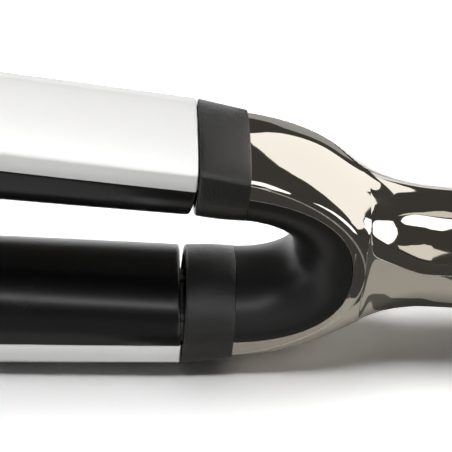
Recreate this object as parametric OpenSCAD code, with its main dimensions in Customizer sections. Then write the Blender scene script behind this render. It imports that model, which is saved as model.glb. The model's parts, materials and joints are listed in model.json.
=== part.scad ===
// Hair crimper with a wishbone hinge: two sprung arms with floating, meshing crimp plates.
// Millimetres. +X runs to the tail, +Z is up, and the lower arm lies flat on z = 0.
// The origin is on the resting plane, below the middle of the whole object's box.

/* [Arms] */
// Length of an arm from its hinge pin to its tip
arm_len = 195; // [180:1:215]
// Full width of an arm along its straight middle
arm_w = 30.5; // [29.5:0.1:33]
// Full width of an arm at the hinge end
arm_hinge_w = 29.8; // [29:0.1:32]
// Half width of the flat strip along the outer shells, as a share of an arm's half width
flat_share = 0.4; // [0.35:0.01:0.45]
// How much narrower the tip is than the middle
tip_narrow = 2.1; // [0:0.1:2.6]
// Height of the flat strip along the side of the outer shell
side_band = 3.4; // [3:0.1:4]
// Crown of the outer shell above its side strip, along the middle
dome_h = 4.2; // [4:0.1:5.4]
// Crown of the outer shell at the hinge end
dome_hinge_h = 2.6; // [2.4:0.1:3.2]
// How much lower the crown is at the tip
dome_tip_drop = 1.4; // [0:0.1:1.8]
// Depth of the inner liner at the hinge end
liner_hinge_depth = 10.6; // [10.3:0.1:12]
// Wall of the outer shells
shell_wall = 1.8; // [1.4:0.1:2]
// Wall of the inner liners
liner_wall = 1.6; // [1.2:0.1:1.8]
// Length of the tip caps
tip_cap_len = 6; // [4:0.5:8]

/* [Hinge] */
// Distance from the middle plane to each hinge pin
hinge_half = 17.4; // [17:0.1:18.5]
// Angle of each arm from the middle plane when open, in degrees
arm_open = 3.2; // [2.8:0.1:3.6]
// Angle by which each arm passes the middle plane's direction when closed, in degrees
arm_cross = 2.0; // [1.6:0.1:2.3]
// Radius of the hinge pins
pin_r = 1.5; // [1.2:0.1:1.8]
// Running clearance of the arms on their pins
pin_play = 0.05; // [0.02:0.01:0.1]
// Radius of the hinge ears
ear_r = 3.2; // [2.9:0.1:3.4]
// Thickness of each ear of the hinge frame
ear_t = 1.6; // [1.2:0.1:2]
// Middle of each ear of the hinge frame, from the middle of the part
ear_y = 5.2; // [4.8:0.1:5.6]
// Thickness of each lug of the arm spines
lug_t = 1.8; // [1.4:0.1:2]
// Side play between a frame ear and an arm lug
lug_play = 0.4; // [0.2:0.1:0.6]

/* [Collars] */
// Length of each collar
collar_len = 9.8; // [8.6:0.1:12]
// How far the collars stand proud of the wishbone
collar_proud = 0.4; // [0.2:0.1:0.5]
// Wall of the collars
collar_wall = 1.5; // [1.2:0.1:1.7]
// Gap between a collar and the end of its arm
collar_gap = 0.3; // [0.2:0.05:0.5]

/* [Wishbone] */
// Distance from the collars to the outside of the bend on the side facet
bend_len = 23.8; // [22:0.1:26]
// Width of the side facet at the bottom of the bend
facet_w = 2.4; // [2:0.1:3]
// Height of the side facet where it is tallest
facet_h = 3.3; // [2.6:0.1:3.6]
// Half height of the side facet's outer edge where it is tallest
facet_half_h = 19.8; // [19.4:0.1:20.4]
// Crown of the wishbone above the side facet, at the collars
wish_crown = 3.2; // [2.6:0.1:3.6]
// How much narrower the wishbone is than the arms, at the collars
wish_narrow = 1.4; // [0.4:0.1:1.6]
// Distance from the collars to the bottom of the fork on the middle plane
fork_depth = 10.4; // [9:0.1:11.5]
// Clear gap between the two collars
fork_gap = 12.6; // [12:0.1:13.4]
// Wall of the wishbone
wish_wall = 1.8; // [1.5:0.1:2]
// Wall of the saddle that lines the fork
saddle_wall = 1.6; // [1.3:0.1:1.8]
// Gap between the saddle's edge and the side facet
saddle_gap = 0.15; // [0.1:0.05:0.3]

/* [Barrel] */
// Radius of the barrel at its slimmest
barrel_r = 11.9; // [11.4:0.1:12.5]
// Radius of the barrel at its end
barrel_end_r = 12.6; // [12.2:0.1:13.5]
// Distance from the hinge pins to the slimmest place of the barrel
neck_at = 51; // [49:0.5:56]
// Distance from the hinge pins to the end of the barrel
barrel_len = 80; // [76:1:95]
// Length of the end cap beyond the barrel
end_cap_len = 3; // [2:0.5:5]
// Radius of the swivel's neck
swivel_r = 7; // [6:0.1:7.6]
// Length of the swivel outside the end cap
swivel_len = 10; // [8:0.5:16]
// Radius of the hole for the cord
cord_hole_r = 3.4; // [3:0.1:4]

/* [Power button] */
// Distance from the hinge pins to the power button
button_at = 51; // [48:0.5:54]
// Radius of the power button
button_r = 3.5; // [3:0.1:4]
// Travel of the power button
button_travel = 0.6; // [0.4:0.05:0.8]
// Width of the light ring round the button
light_ring_w = 1.1; // [0.8:0.1:1.3]

/* [Crimp plates] */
// Distance from an arm's tip to the front end of its plate
plate_tip_gap = 9; // [8:0.5:12]
// Length of a plate
plate_len = 90; // [84:1:94]
// Width of a plate
plate_w = 25; // [22:0.5:25.4]
// Thickness of a plate above its crimp waves
plate_t = 2.6; // [2.2:0.1:3]
// Height of the crimp waves from crest to trough
wave_h = 1.8; // [1:0.1:2.2]
// Distance from crest to crest
wave_pitch = 5.6; // [4:0.1:9]
// Gap between the meshing plates when both arms are closed
plate_gap = 0.4; // [0.3:0.05:0.8]
// How far a plate stands proud of its liner
plate_proud = 1.4; // [1:0.1:2]
// Travel of a floating plate into its arm
float_travel = 0.8; // [0.4:0.1:1]
// Gap round a plate in its liner
plate_slot_gap = 0.4; // [0.3:0.05:0.6]

/* [Inside the arms] */
// Thickness of the spine
spine_t = 1.4; // [1:0.1:1.6]
// Full width of the spine
spine_w = 18; // [16.8:0.2:19]
// Distance from the seam of shell and liner to the spine's web
spine_z = 1.0; // [0.8:0.1:1.3]
// Depth of the spine's side walls below the seam
spine_wall_depth = 5; // [4:0.1:5.6]
// Height of the plate carrier
carrier_h = 3.6; // [3.2:0.1:4]
// Width of the plate carrier
carrier_w = 21.6; // [20:0.2:22]
// Distance from the heater to each end of its plate
heater_end_gap = 14; // [13:0.5:18]
// Width of the heater
heater_w = 13; // [10:0.5:16]
// Height of the heater
heater_h = 2; // [1.4:0.1:2.2]
// Height of the plate springs when they are pressed flat
spring_flat_h = 1.2; // [0.8:0.1:1.4]
// Thickness of the heat tray
tray_t = 1.2; // [0.8:0.1:1.4]
// Radius of the heater leads
lead_r = 0.8; // [0.6:0.05:1]

/* [Hidden] */
// Steps along the arms, steps round a half section, and steps round the bend
arm_rows = 18;
arc_steps = 15;
bend_rows = 9;
fit = 0.3;
wish_w = arm_hinge_w - wish_narrow;
seam = 0.02;
wave_steps = 8;

screw_r = 0.85;
screw_hole_r = 0.9;
screw_head_r = 1.9;
screw_head_h = 1.2;
screw_len = 3.4;
cable_hole_r = 2.2;

pin_half = ear_y + ear_t / 2 + lug_play + lug_t + 0.2;
lug_y = ear_y + ear_t / 2 + lug_play + lug_t / 2;
// The lower arm lies on the flat strip along its crown.
arm_bottom = side_band + dome_h * sqrt(1 - flat_share * flat_share);
axis_z = arm_bottom + hinge_half * cos(arm_open);
end_x = barrel_len + end_cap_len;
tail_x = end_x + swivel_len;
swivel_end_r = cord_hole_r + 1.8;
low_x = -hinge_half * sin(arm_open) - arm_len;
high_x = tail_x * cos(arm_open) + swivel_end_r * sin(arm_open);
mid_x = (low_x + high_x) / 2;
shell_to = arm_len - tip_cap_len;
plate_to = arm_len - plate_tip_gap;
plate_at = plate_to - plate_len;
heater_len = plate_len - 2 * heater_end_gap;
plate_mid = plate_at + plate_len / 2;

facet_x = collar_len + bend_len;

// The hinge frame's hub ends against a mount in the neck.
mount_x = facet_x + 2.2;
mount_t = 3;
hub_from = facet_x - 8.8;
hub_to = mount_x - seam;
hub_half = 7.4;
prong_h = 4.6;
prong_end_z = 5.8;
frame_t = 1.6;
frame_screw_z = 4.5;

// The control board reaches from the mount to the end cap's spigot.
spigot_len = 5;
board_t = 1.6;
board_w = 16;
board_from = mount_x + mount_t - 0.9;
board_to = barrel_len - spigot_len - 0.2;

ring_r = button_r + 0.15 + light_ring_w;
face_y = barrel_r - 0.2;
stem_y = 8.2;
flange_r = swivel_r + 1.6;
flange_t = 2;
post_from = 24;
post_to = plate_at - 4;
post_at = [post_from, (post_from + post_to) / 2, post_to];
post_r = 2.4;
spring_x = [plate_at + 12, plate_to - 12];

// The side facet's edges are two rounded curves about one centre: half length, half height, power.
facet_cx = 2.5;
facet_out = [facet_x - facet_cx, facet_half_h, 1.9];
facet_in = [facet_out[0] - facet_w, facet_half_h - facet_h, 2.35];
facet_in_x = facet_cx + facet_in[0];
wish_power = 1.8;

WISHBONE = ["wishbone_shell", "wishbone_saddle", "upper_collar", "lower_collar", "hinge_frame",
    "upper_hinge_pin", "lower_hinge_pin", "upper_return_spring", "lower_return_spring",
    "frame_mount", "frame_screws", "control_board", "mains_capacitor", "board_fuse", "sounder",
    "power_switch", "terminal_block", "button_light_ring", "power_button", "barrel_end_cap",
    "swivel_retainer", "cord_swivel"];
UPPER = ["upper_arm_shell", "upper_arm_liner", "upper_tip_cap", "upper_spine", "upper_arm_screws",
    "upper_heater_leads", "upper_heat_tray", "upper_plate_springs", "upper_plate_carrier",
    "upper_crimp_plate", "upper_heater", "upper_heat_sensor", "upper_thermal_fuse"];
LOWER = ["lower_arm_shell", "lower_arm_liner", "lower_tip_cap", "lower_spine", "lower_arm_screws",
    "lower_heater_leads", "lower_heat_tray", "lower_plate_springs", "lower_plate_carrier",
    "lower_crimp_plate", "lower_heater", "lower_heat_sensor", "lower_thermal_fuse"];

// ---- curves ----

function clamp01(t) = min(1, max(0, t));
function ease_out(t) = sin(90 * clamp01(t));
function ease_in(t) = 1 - cos(90 * clamp01(t));
function ease(t) = (1 - cos(180 * clamp01(t))) / 2;
function power(v, e) = v <= 0 ? 0 : pow(v, e);

// A smooth curve through points [x, value], with x rising
function slope_at(p, i) =
    let (a = max(0, i - 1), b = min(len(p) - 1, i + 1))
    (p[b][1] - p[a][1]) / (p[b][0] - p[a][0]);
function span_of(p, x, i = 0) = i >= len(p) - 2 || x < p[i + 1][0] ? i : span_of(p, x, i + 1);
function curve(p, x) =
    let (
        i = span_of(p, x),
        h = p[i + 1][0] - p[i][0],
        t = clamp01((x - p[i][0]) / h),
        u = 1 - t
    )
    (1 + 2 * t) * u * u * p[i][1] + t * u * u * h * slope_at(p, i)
    + t * t * (3 - 2 * t) * p[i + 1][1] - t * t * u * h * slope_at(p, i + 1);

// ---- sections and lofts ----

// The steps over a crown leave out its middle, where a flat strip joins the two sides.
function crown_angle(i) =
    let (turns = (arc_steps - 1) / 2, last = acos(flat_share))
    i <= turns ? last * i / turns : 180 - last * (arc_steps - i) / turns;
// Over the top of a section: up the flat side, over an elliptical crown and down again
function over(half_w, band, crown) = concat(
    [[-half_w, 0]],
    [for (i = [0 : arc_steps])
        let (a = crown_angle(i))
        [-half_w * cos(a), band + crown * sin(a)]],
    [[half_w, 0]]
);
// Under the seam: half of a superellipse, without its two ends
function under(half_w, depth, n) = [for (i = [1 : arc_steps - 1])
    let (a = 180 * i / arc_steps, c = cos(a))
    [half_w * sign(c) * power(abs(c), 2 / n), -depth * power(sin(a), 2 / n)]];

function flat(rows) = [for (r = rows) each r];
function quad(a, b, c, d) = [[a, b, c], [a, c, d]];
function at_x(x, outline) = [for (p = outline) [x, p[0], p[1]]];

// A solid between rows of closed outlines
module solid_loft(rows) {
    n = len(rows);
    m = len(rows[0]);
    polyhedron(flat(rows), concat(
        [for (i = [0 : n - 2], j = [0 : m - 1])
            let (k = (j + 1) % m)
            each quad(i * m + j, i * m + k, (i + 1) * m + k, (i + 1) * m + j)],
        [[for (j = [0 : m - 1]) m - 1 - j]],
        [[for (j = [0 : m - 1]) (n - 1) * m + j]]
    ));
}

// A wall between outer and inner rows: the outlines are closed loops, or open ones with rims
module wall_loft(outer, inner, closed) {
    n = len(outer);
    m = len(outer[0]);
    q = n * m;
    last = closed ? m - 1 : m - 2;
    function at(skin, i, j) = skin * q + i * m + j % m;
    polyhedron(flat(concat(outer, inner)), concat(
        [for (i = [0 : n - 2], j = [0 : last])
            each quad(at(0, i, j), at(0, i, j + 1), at(0, i + 1, j + 1), at(0, i + 1, j))],
        [for (i = [0 : n - 2], j = [0 : last])
            each quad(at(1, i, j), at(1, i + 1, j), at(1, i + 1, j + 1), at(1, i, j + 1))],
        [for (j = [0 : last])
            each quad(at(0, 0, j + 1), at(0, 0, j), at(1, 0, j), at(1, 0, j + 1))],
        [for (j = [0 : last])
            each quad(at(0, n - 1, j), at(0, n - 1, j + 1), at(1, n - 1, j + 1), at(1, n - 1, j))],
        [for (i = [0 : n - 2])
            if (!closed)
                each quad(at(0, i, 0), at(0, i + 1, 0), at(1, i + 1, 0), at(1, i, 0))],
        [for (i = [0 : n - 2])
            if (!closed)
                each quad(at(0, i + 1, m - 1), at(0, i, m - 1), at(1, i, m - 1), at(1, i + 1, m - 1))]
    ));
}

// ---- places ----

// The wishbone's own frame: origin between the hinge pins, +X to the tail
module in_wishbone() {
    translate([-mid_x, 0, axis_z])
        rotate([0, arm_open, 0])
            children();
}
// An arm's own frame: origin on its pin, +X to its tip, +Z to its outer shell
module in_upper_arm() {
    in_wishbone()
        translate([0, 0, hinge_half])
            rotate([0, arm_open, 0])
                mirror([1, 0, 0])
                    children();
}
module in_lower_arm() {
    in_wishbone()
        translate([0, 0, -hinge_half])
            rotate([0, -arm_open, 0])
                mirror([0, 0, 1])
                    mirror([1, 0, 0])
                        children();
}
// A plate's frame in its arm: z = 0 is the plane where the closed plates meet
module in_plate() {
    rotate([0, -arm_cross, 0])
        translate([0, 0, -hinge_half])
            children();
}
module along_x(x) {
    translate([x, 0, 0])
        rotate([0, 90, 0])
            children();
}
module along_y(y) {
    translate([0, y, 0])
        rotate([-90, 0, 0])
            children();
}
module block(from, to) {
    translate(from)
        cube(to - from);
}

// ---- the arms ----

tip_run = 45;
tip_from = arm_len - tip_run;
hinge_run = 40;
dome_run = 60;
function arm_half_w(s) = arm_hinge_w / 2 + (arm_w - arm_hinge_w) / 2 * ease_out(s / hinge_run)
    - tip_narrow / 2 * ease_in((s - tip_from) / tip_run);
function arm_dome(s) = dome_hinge_h + (dome_h - dome_hinge_h) * ease_out(s / dome_run)
    - dome_tip_drop * ease_in((s - tip_from) / tip_run);
// The liner follows the plate's line from the plate's rear end on.
function plate_line(s) = hinge_half / cos(arm_cross) - s * tan(arm_cross);
function liner_depth(s) = s >= plate_at
    ? plate_line(s) - plate_proud
    : let (
        t = s / plate_at,
        u = 1 - t,
        end_depth = plate_line(plate_at) - plate_proud
    )
    (1 + 2 * t) * u * u * liner_hinge_depth + t * u * u * plate_at * 0.04
    + t * t * (3 - 2 * t) * end_depth + t * t * u * plate_at * tan(arm_cross);
// The liner's section is an ellipse at the hinge and fuller along the plate.
full_from = 40;
full_to = plate_at - 5;
function liner_power(s) = 2 + 2 * ease((s - full_from) / (full_to - full_from));
// An arm's end leans back on both sides of its pin, so that it can turn without meeting its collar.
notch_run = 30;
function notch(s, z) =
    (z > 0 ? z * tan(arm_open) : -z * tan(arm_cross)) * (1 - clamp01(s / notch_run));
function arm_row(s, outline) = [for (p = outline) [s + notch(s, p[1]), p[0], p[1]]];

function rows_from(a, b) = [for (i = [0 : arm_rows])
    let (t = i / arm_rows)
    a + (b - a) * t];

// Height of the inside of the shell's crown above its side strip, along the middle
function post_crown(s) = (arm_dome(s) - shell_wall) * sqrt(1 - flat_share * flat_share);

module arm_shell() {
    s_list = rows_from(collar_gap, shell_to);
    wall_loft(
        [for (s = s_list) arm_row(s, over(arm_half_w(s), side_band, arm_dome(s)))],
        [for (s = s_list)
            arm_row(s, over(arm_half_w(s) - shell_wall, side_band, arm_dome(s) - shell_wall))],
        closed = false
    );
}

function liner_outline(s, wall) = let (half_w = arm_half_w(s) - wall) concat(
    [[half_w, 0]],
    under(half_w, liner_depth(s) - wall, liner_power(s)),
    [[-half_w, 0]]
);
module arm_liner() {
    s_list = rows_from(collar_gap, shell_to);
    slot = plate_slot_gap;
    difference() {
        wall_loft(
            [for (s = s_list) arm_row(s, liner_outline(s, 0))],
            [for (s = s_list) arm_row(s, liner_outline(s, liner_wall))],
            closed = false
        );
        in_plate()
            block(
                [plate_at - slot, -plate_w / 2 - slot, -1],
                [plate_to + slot, plate_w / 2 + slot, carrier_top]
            );
    }
}

// A full arm section, shrunk towards its middle by a share
function arm_loop(s, share) =
    let (
        top = over(arm_half_w(s), side_band, arm_dome(s)),
        bottom = under(arm_half_w(s), liner_depth(s), liner_power(s)),
        mid_z = (side_band + arm_dome(s) - liner_depth(s)) / 2
    )
    [for (p = concat(top, bottom)) [p[0] * share, mid_z + (p[1] - mid_z) * share]];
module tip_cap() {
    // The cap is rounded like a quarter of an ellipse towards the tip.
    round_steps = 5;
    tongue = [9, 12, 1.4];
    solid_loft([for (i = [0 : round_steps])
        let (a = 90 * i / round_steps)
        at_x(shell_to + seam + (tip_cap_len - seam) * sin(a), arm_loop(shell_to, 0.6 + 0.4 * cos(a)))
    ]);
    // Its tongue lies on the spine's web.
    translate([shell_to - tongue[0], -tongue[1] / 2, spine_z + spine_t])
        cube(tongue + [1, 0, 0]);
}

module spine() {
    web_from = 6;
    web_to = shell_to - 1;
    wall_y = spine_w / 2 - spine_t / 2;
    wall_to = plate_at - 4;
    pin_hole_half = lug_y + lug_t / 2 + 1;
    difference() {
        union() {
            block([web_from, -spine_w / 2, spine_z], [web_to, spine_w / 2, spine_z + spine_t]);
            for (side = [-1, 1]) {
                along_y(side * lug_y - lug_t / 2)
                    cylinder(r = ear_r, h = lug_t, $fn = 48);
                block(
                    [0, side * lug_y - lug_t / 2, -ear_r],
                    [web_from + 2, side * lug_y + lug_t / 2, spine_z + spine_t]
                );
                block(
                    [web_from, side * wall_y - spine_t / 2, -spine_wall_depth],
                    [wall_to, side * wall_y + spine_t / 2, spine_z + spine_t]
                );
            }
            for (x = post_at)
                translate([x, 0, spine_z])
                    cylinder(r = post_r, h = side_band + post_crown(x) - fit - spine_z, $fn = 32);
        }
        along_y(-pin_hole_half)
            cylinder(r = pin_r + pin_play, h = 2 * pin_hole_half, $fn = 48);
        for (x = post_at)
            translate([x, 0, spine_z - 1])
                cylinder(r = screw_hole_r, h = screw_len + 1.2, $fn = 24);
    }
}
module arm_screws() {
    for (x = post_at)
        translate([x, 0, 0]) {
            translate([0, 0, spine_z - screw_head_h])
                cylinder(r = screw_head_r, h = screw_head_h, $fn = 32);
            translate([0, 0, spine_z - 0.1])
                cylinder(r = screw_r, h = screw_len, $fn = 24);
        }
}
module heater_leads() {
    lead_y = 4.5;
    lead_from = 9;
    for (side = [-1, 1])
        translate([0, side * lead_y, spine_z - lead_r - 0.05])
            along_x(lead_from)
                cylinder(r = lead_r, h = plate_at + 2 - lead_from, $fn = 20);
}

// ---- the plates, in the plate's frame ----

plate_top = plate_gap / 2 + wave_h / 2 + plate_t;
carrier_top = plate_top + carrier_h;
// The springs' relaxed height leaves room for the plate's travel.
plate_spring_h = spring_flat_h + float_travel;
tray_z = carrier_top + plate_spring_h;

module crimp_plate(phase) {
    steps = wave_steps * floor(plate_len / wave_pitch);
    edge = plate_w / 2;
    wave = [for (i = [0 : steps])
        let (x = plate_at + plate_len * i / steps)
        [x, plate_gap / 2 + phase * wave_h / 2 * sin(360 * (x - plate_at) / wave_pitch)]];
    translate([0, edge, 0])
        rotate([90, 0, 0])
            linear_extrude(height = plate_w)
                polygon(concat(wave, [[plate_to, plate_top], [plate_at, plate_top]]));
}
module heater_block() {
    block(
        [plate_mid - heater_len / 2, -heater_w / 2, plate_top],
        [plate_mid + heater_len / 2, heater_w / 2, plate_top + heater_h]
    );
}
module plate_carrier() {
    rim = 2;
    difference() {
        block(
            [plate_at + 1, -carrier_w / 2, plate_top],
            [plate_to - 1, carrier_w / 2, carrier_top]
        );
        block(
            [plate_at + 1 + rim, -carrier_w / 2 + rim, plate_top - 1],
            [plate_to - 1 - rim, carrier_w / 2 - rim, carrier_top - 1.2]
        );
    }
}
module heat_sensor() {
    x = plate_mid + heater_len / 2 + 3;
    block([x, -1.5, plate_top], [x + 4, 1.5, plate_top + 1.5]);
}
module thermal_fuse() {
    translate([plate_mid - heater_len / 2 - 10, 0, plate_top + 1.05])
        along_x(0)
            cylinder(r = 1, h = 8, $fn = 24);
}
module plate_springs() {
    outer_r = 2.6;
    inner_r = 1.9;
    for (x = spring_x, side = [-1, 1])
        translate([x, side * 6, carrier_top])
            difference() {
                cylinder(r = outer_r, h = plate_spring_h, $fn = 32);
                translate([0, 0, -1])
                    cylinder(r = inner_r, h = plate_spring_h + 2, $fn = 32);
            }
}
module heat_tray() {
    inner = carrier_w / 2 + fit;
    from = plate_at + 6;
    to = plate_to - 12;
    in_plate() {
        block([from, -inner - 1, tray_z], [to, inner + 1, tray_z + tray_t]);
        for (side = [-1, 1])
            block(
                [from, side * (inner + 0.5) - 0.5, carrier_top - 1.6],
                [to, side * (inner + 0.5) + 0.5, tray_z + tray_t]
            );
    }
    // Posts between the tray and the spine's web
    for (x = [from + 8, to - 8])
        translate([x, 0, -plate_line(x) + tray_z + tray_t / 2])
            cylinder(r = 3, h = plate_line(x) + spine_z - tray_z - tray_t / 2, $fn = 32);
}

// ---- the wishbone ----

// Share of the crown that is left, along the way from the collars to the neck
neck_fall = [[0, 1], [0.24, 0.92], [0.42, 0.71], [0.56, 0.42], [0.68, 0.155], [0.8, 0.045], [1, 0]];
wish_top = edge_h(facet_out, collar_len) + wish_crown;
function way(x) = (x - collar_len) / (neck_at - collar_len);
function flare(x) = (barrel_end_r - barrel_r) * ease((x - neck_at) / (barrel_len - neck_at));
function wish_half_h(x) = barrel_r + (wish_top - barrel_r) * curve(neck_fall, clamp01(way(x))) + flare(x);
function wish_half_w(x) =
    barrel_r + (wish_w / 2 - barrel_r) * (1 - ease(pow(clamp01(way(x)), 1.5))) + flare(x);
// Half heights of the facet's two edges, which close to zero at the bend
function edge_h(e, x) =
    let (t = (x - facet_cx) / e[0])
    t >= 1 ? 0 : e[1] * pow(1 - pow(t, e[2]), 1 / e[2]);
function edge_angle(e) = acos((collar_len - facet_cx) / e[0]);

inner_x = [for (i = [0 : bend_rows])
    facet_cx + facet_in[0] * cos(edge_angle(facet_in) * (1 - i / bend_rows))];
tip_angle = acos((facet_in_x - facet_cx) / facet_out[0]);
outer_x = [for (a = [0.62, 0.3, 0]) facet_cx + facet_out[0] * cos(tip_angle * a)];
neck_x = [for (i = [1 : 8])
    facet_x + (neck_at - facet_x) * i / 8];
barrel_x = [for (i = [1 : 3])
    neck_at + (barrel_len - neck_at) * i / 3];
wish_x = concat(inner_x, outer_x, neck_x, barrel_x);

// The crown's section is pointed at the collars and round from the neck on.
function crown_power(x) = 2 / (wish_power + (2 - wish_power) * ease(way(x)));
function wish_row(x, wall) =
    let (
        n = crown_power(x),
        half_w = wish_half_w(x) - wall,
        low = edge_h(facet_in, x),
        band = edge_h(facet_out, x),
        crown = wish_half_h(x) - wall - band
    )
    concat(
        [[x, -half_w, low]],
        [for (i = [0 : arc_steps])
            let (a = 180 * i / arc_steps)
            [x, -half_w * sign(cos(a)) * power(abs(cos(a)), n),
                band + crown * power(sin(a), n)]],
        [[x, half_w, low]]
    );
module wishbone_body() {
    n = len(wish_x);
    m = len(wish_row(collar_len, 0));
    weld = bend_rows;
    upper = flat([for (wall = [0, wish_wall], x = wish_x) wish_row(x, wall)]);
    lower = [for (p = upper) [p[0], p[1], -p[2]]];
    // Points on the middle plane behind the bend belong to the upper and the lower half.
    function at(skin, side, i, j) =
        ((side == 1 && i >= weld && (j == 0 || j == m - 1) ? 0 : side) * 2 + skin) * n * m + i * m + j;
    function turned(side, q) = [for (f = q) side == 0 ? f : [f[2], f[1], f[0]]];
    polyhedron(concat(upper, lower), [
        for (side = [0, 1]) each concat(
            [for (i = [0 : n - 2], j = [0 : m - 2])
                each turned(side, quad(at(0, side, i, j), at(0, side, i, j + 1),
                    at(0, side, i + 1, j + 1), at(0, side, i + 1, j)))],
            [for (i = [0 : n - 2], j = [0 : m - 2])
                each turned(side, quad(at(1, side, i, j), at(1, side, i + 1, j),
                    at(1, side, i + 1, j + 1), at(1, side, i, j + 1)))],
            [for (i = [0 : weld - 1])
                each turned(side, quad(at(0, side, i, 0), at(0, side, i + 1, 0),
                    at(1, side, i + 1, 0), at(1, side, i, 0)))],
            [for (i = [0 : weld - 1])
                each turned(side, quad(at(0, side, i + 1, m - 1), at(0, side, i, m - 1),
                    at(1, side, i, m - 1), at(1, side, i + 1, m - 1)))],
            [for (j = [0 : m - 2])
                each turned(side, quad(at(0, side, 0, j + 1), at(0, side, 0, j),
                    at(1, side, 0, j), at(1, side, 0, j + 1)))],
            [for (j = [0 : m - 2])
                each turned(side, quad(at(0, side, n - 1, j), at(0, side, n - 1, j + 1),
                    at(1, side, n - 1, j + 1), at(1, side, n - 1, j)))]
        )
    ]);
}
module wishbone_shell() {
    difference() {
        wishbone_body();
        translate([button_at, 0, 0])
            along_y(0)
                cylinder(r = ring_r + 0.1, h = barrel_end_r + 5, $fn = 48);
    }
}

// The saddle runs round the fork: its edges follow the facet, its middle the fork's bottom.
function saddle_point(t, a, wall) =
    let (
        edge_a = edge_angle(facet_in) * t,
        ex = facet_cx + (facet_in[0] - saddle_gap) * cos(edge_a),
        ez = (facet_in[1] - saddle_gap) * sign(t)
            * power(1 - power(cos(edge_a), facet_in[2]), 1 / facet_in[2]),
        mx = collar_len + (fork_depth + wall) * cos(90 * t),
        mz = (fork_gap / 2 + wall) * sin(90 * t),
        k = sin(a),
        half_w = wish_half_w(max(collar_len, ex)) - wall
    )
    [max(collar_len, ex + (mx - ex) * k), -half_w * cos(a), ez + (mz - ez) * k];
module wishbone_saddle() {
    turns = 2 * bend_rows;
    t_list = [for (i = [0 : turns]) 2 * i / turns - 1];
    arcs = [for (j = [0 : arc_steps]) 180 * j / arc_steps];
    wall_loft(
        [for (t = t_list) [for (a = arcs) saddle_point(t, a, 0)]],
        [for (t = t_list) [for (a = arcs) saddle_point(t, a, saddle_wall)]],
        closed = false
    );
}

// A collar leads from the arm's section to the wishbone's section.
function collar_loop(t, wall) =
    let (
        base = hinge_half + (edge_h(facet_in, collar_len) - hinge_half) * t,
        depth = liner_hinge_depth + (base - fork_gap / 2 - liner_hinge_depth) * t,
        half_w = arm_hinge_w / 2 + ((wish_w - arm_hinge_w) / 2 + collar_proud / 2) * t - wall,
        edge = edge_h(facet_out, collar_len) - edge_h(facet_in, collar_len),
        band = side_band + (edge - side_band) * t,
        crown = dome_hinge_h + (wish_crown + collar_proud - dome_hinge_h) * t - wall,
        loop = concat(over(half_w, band, crown), under(half_w, depth - wall, 2))
    )
    [for (p = loop) [collar_len * t, p[0], base + p[1]]];
module collar() {
    t_list = [0, 0.33, 0.67, 1];
    wall_loft(
        [for (t = t_list) collar_loop(t, 0)],
        [for (t = t_list) collar_loop(t, collar_wall)],
        closed = true
    );
}

// A steel fork that carries both pins: two side cheeks joined by a hub
module hinge_frame() {
    run = hub_from + 3;
    drop = hinge_half - prong_end_z;
    lean = atan(drop / run);
    difference() {
        union() {
            for (side = [-1, 1], half = [-1, 1]) {
                translate([0, side * ear_y - ear_t / 2, half * hinge_half])
                    along_y(0)
                        cylinder(r = ear_r, h = ear_t, $fn = 48);
                translate([0, side * ear_y, half * hinge_half])
                    rotate([0, half * lean, 0])
                        translate([0, -ear_t / 2, -prong_h / 2])
                            cube([norm([run, drop]), ear_t, prong_h]);
            }
            for (side = [-1, 1])
                block(
                    [hub_from, side * ear_y - ear_t / 2, -hub_half],
                    [hub_to, side * ear_y + ear_t / 2, hub_half]
                );
            block(
                [hub_to - frame_t, -ear_y - ear_t / 2, -hub_half],
                [hub_to, ear_y + ear_t / 2, hub_half]
            );
        }
        for (half = [-1, 1])
            translate([0, 0, half * hinge_half])
                along_y(-10)
                    cylinder(r = pin_r, h = 20, $fn = 48);
        for (half = [-1, 1])
            translate([0, 0, half * frame_screw_z])
                along_x(hub_to - 5)
                    cylinder(r = screw_r + 0.45, h = 10, $fn = 32);
        along_x(hub_to - 5)
            cylinder(r = cable_hole_r, h = 10, $fn = 32);
    }
}
module hinge_pin(half) {
    translate([0, 0, half * hinge_half])
        along_y(-pin_half)
            cylinder(r = pin_r, h = 2 * pin_half, $fn = 48);
}
module return_spring(half) {
    coil_half = ear_y - ear_t / 2 - 0.3;
    wire = 0.8;
    translate([0, 0, half * hinge_half]) {
        difference() {
            along_y(-coil_half)
                cylinder(r = pin_r + 0.2 + wire, h = 2 * coil_half, $fn = 40);
            along_y(-coil_half - 1)
                cylinder(r = pin_r + 0.2, h = 2 * coil_half + 2, $fn = 40);
        }
        // One leg lies along the frame, the other reaches under the arm's web.
        translate([0, coil_half - wire, -half * (pin_r + 0.2 + wire / 2)])
            along_x(0)
                cylinder(r = wire / 2, h = 7, $fn = 20);
        translate([0, -coil_half + wire, -half * (pin_r + 0.2 + wire / 2)])
            along_x(-7)
                cylinder(r = wire / 2, h = 7, $fn = 20);
    }
}

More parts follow.
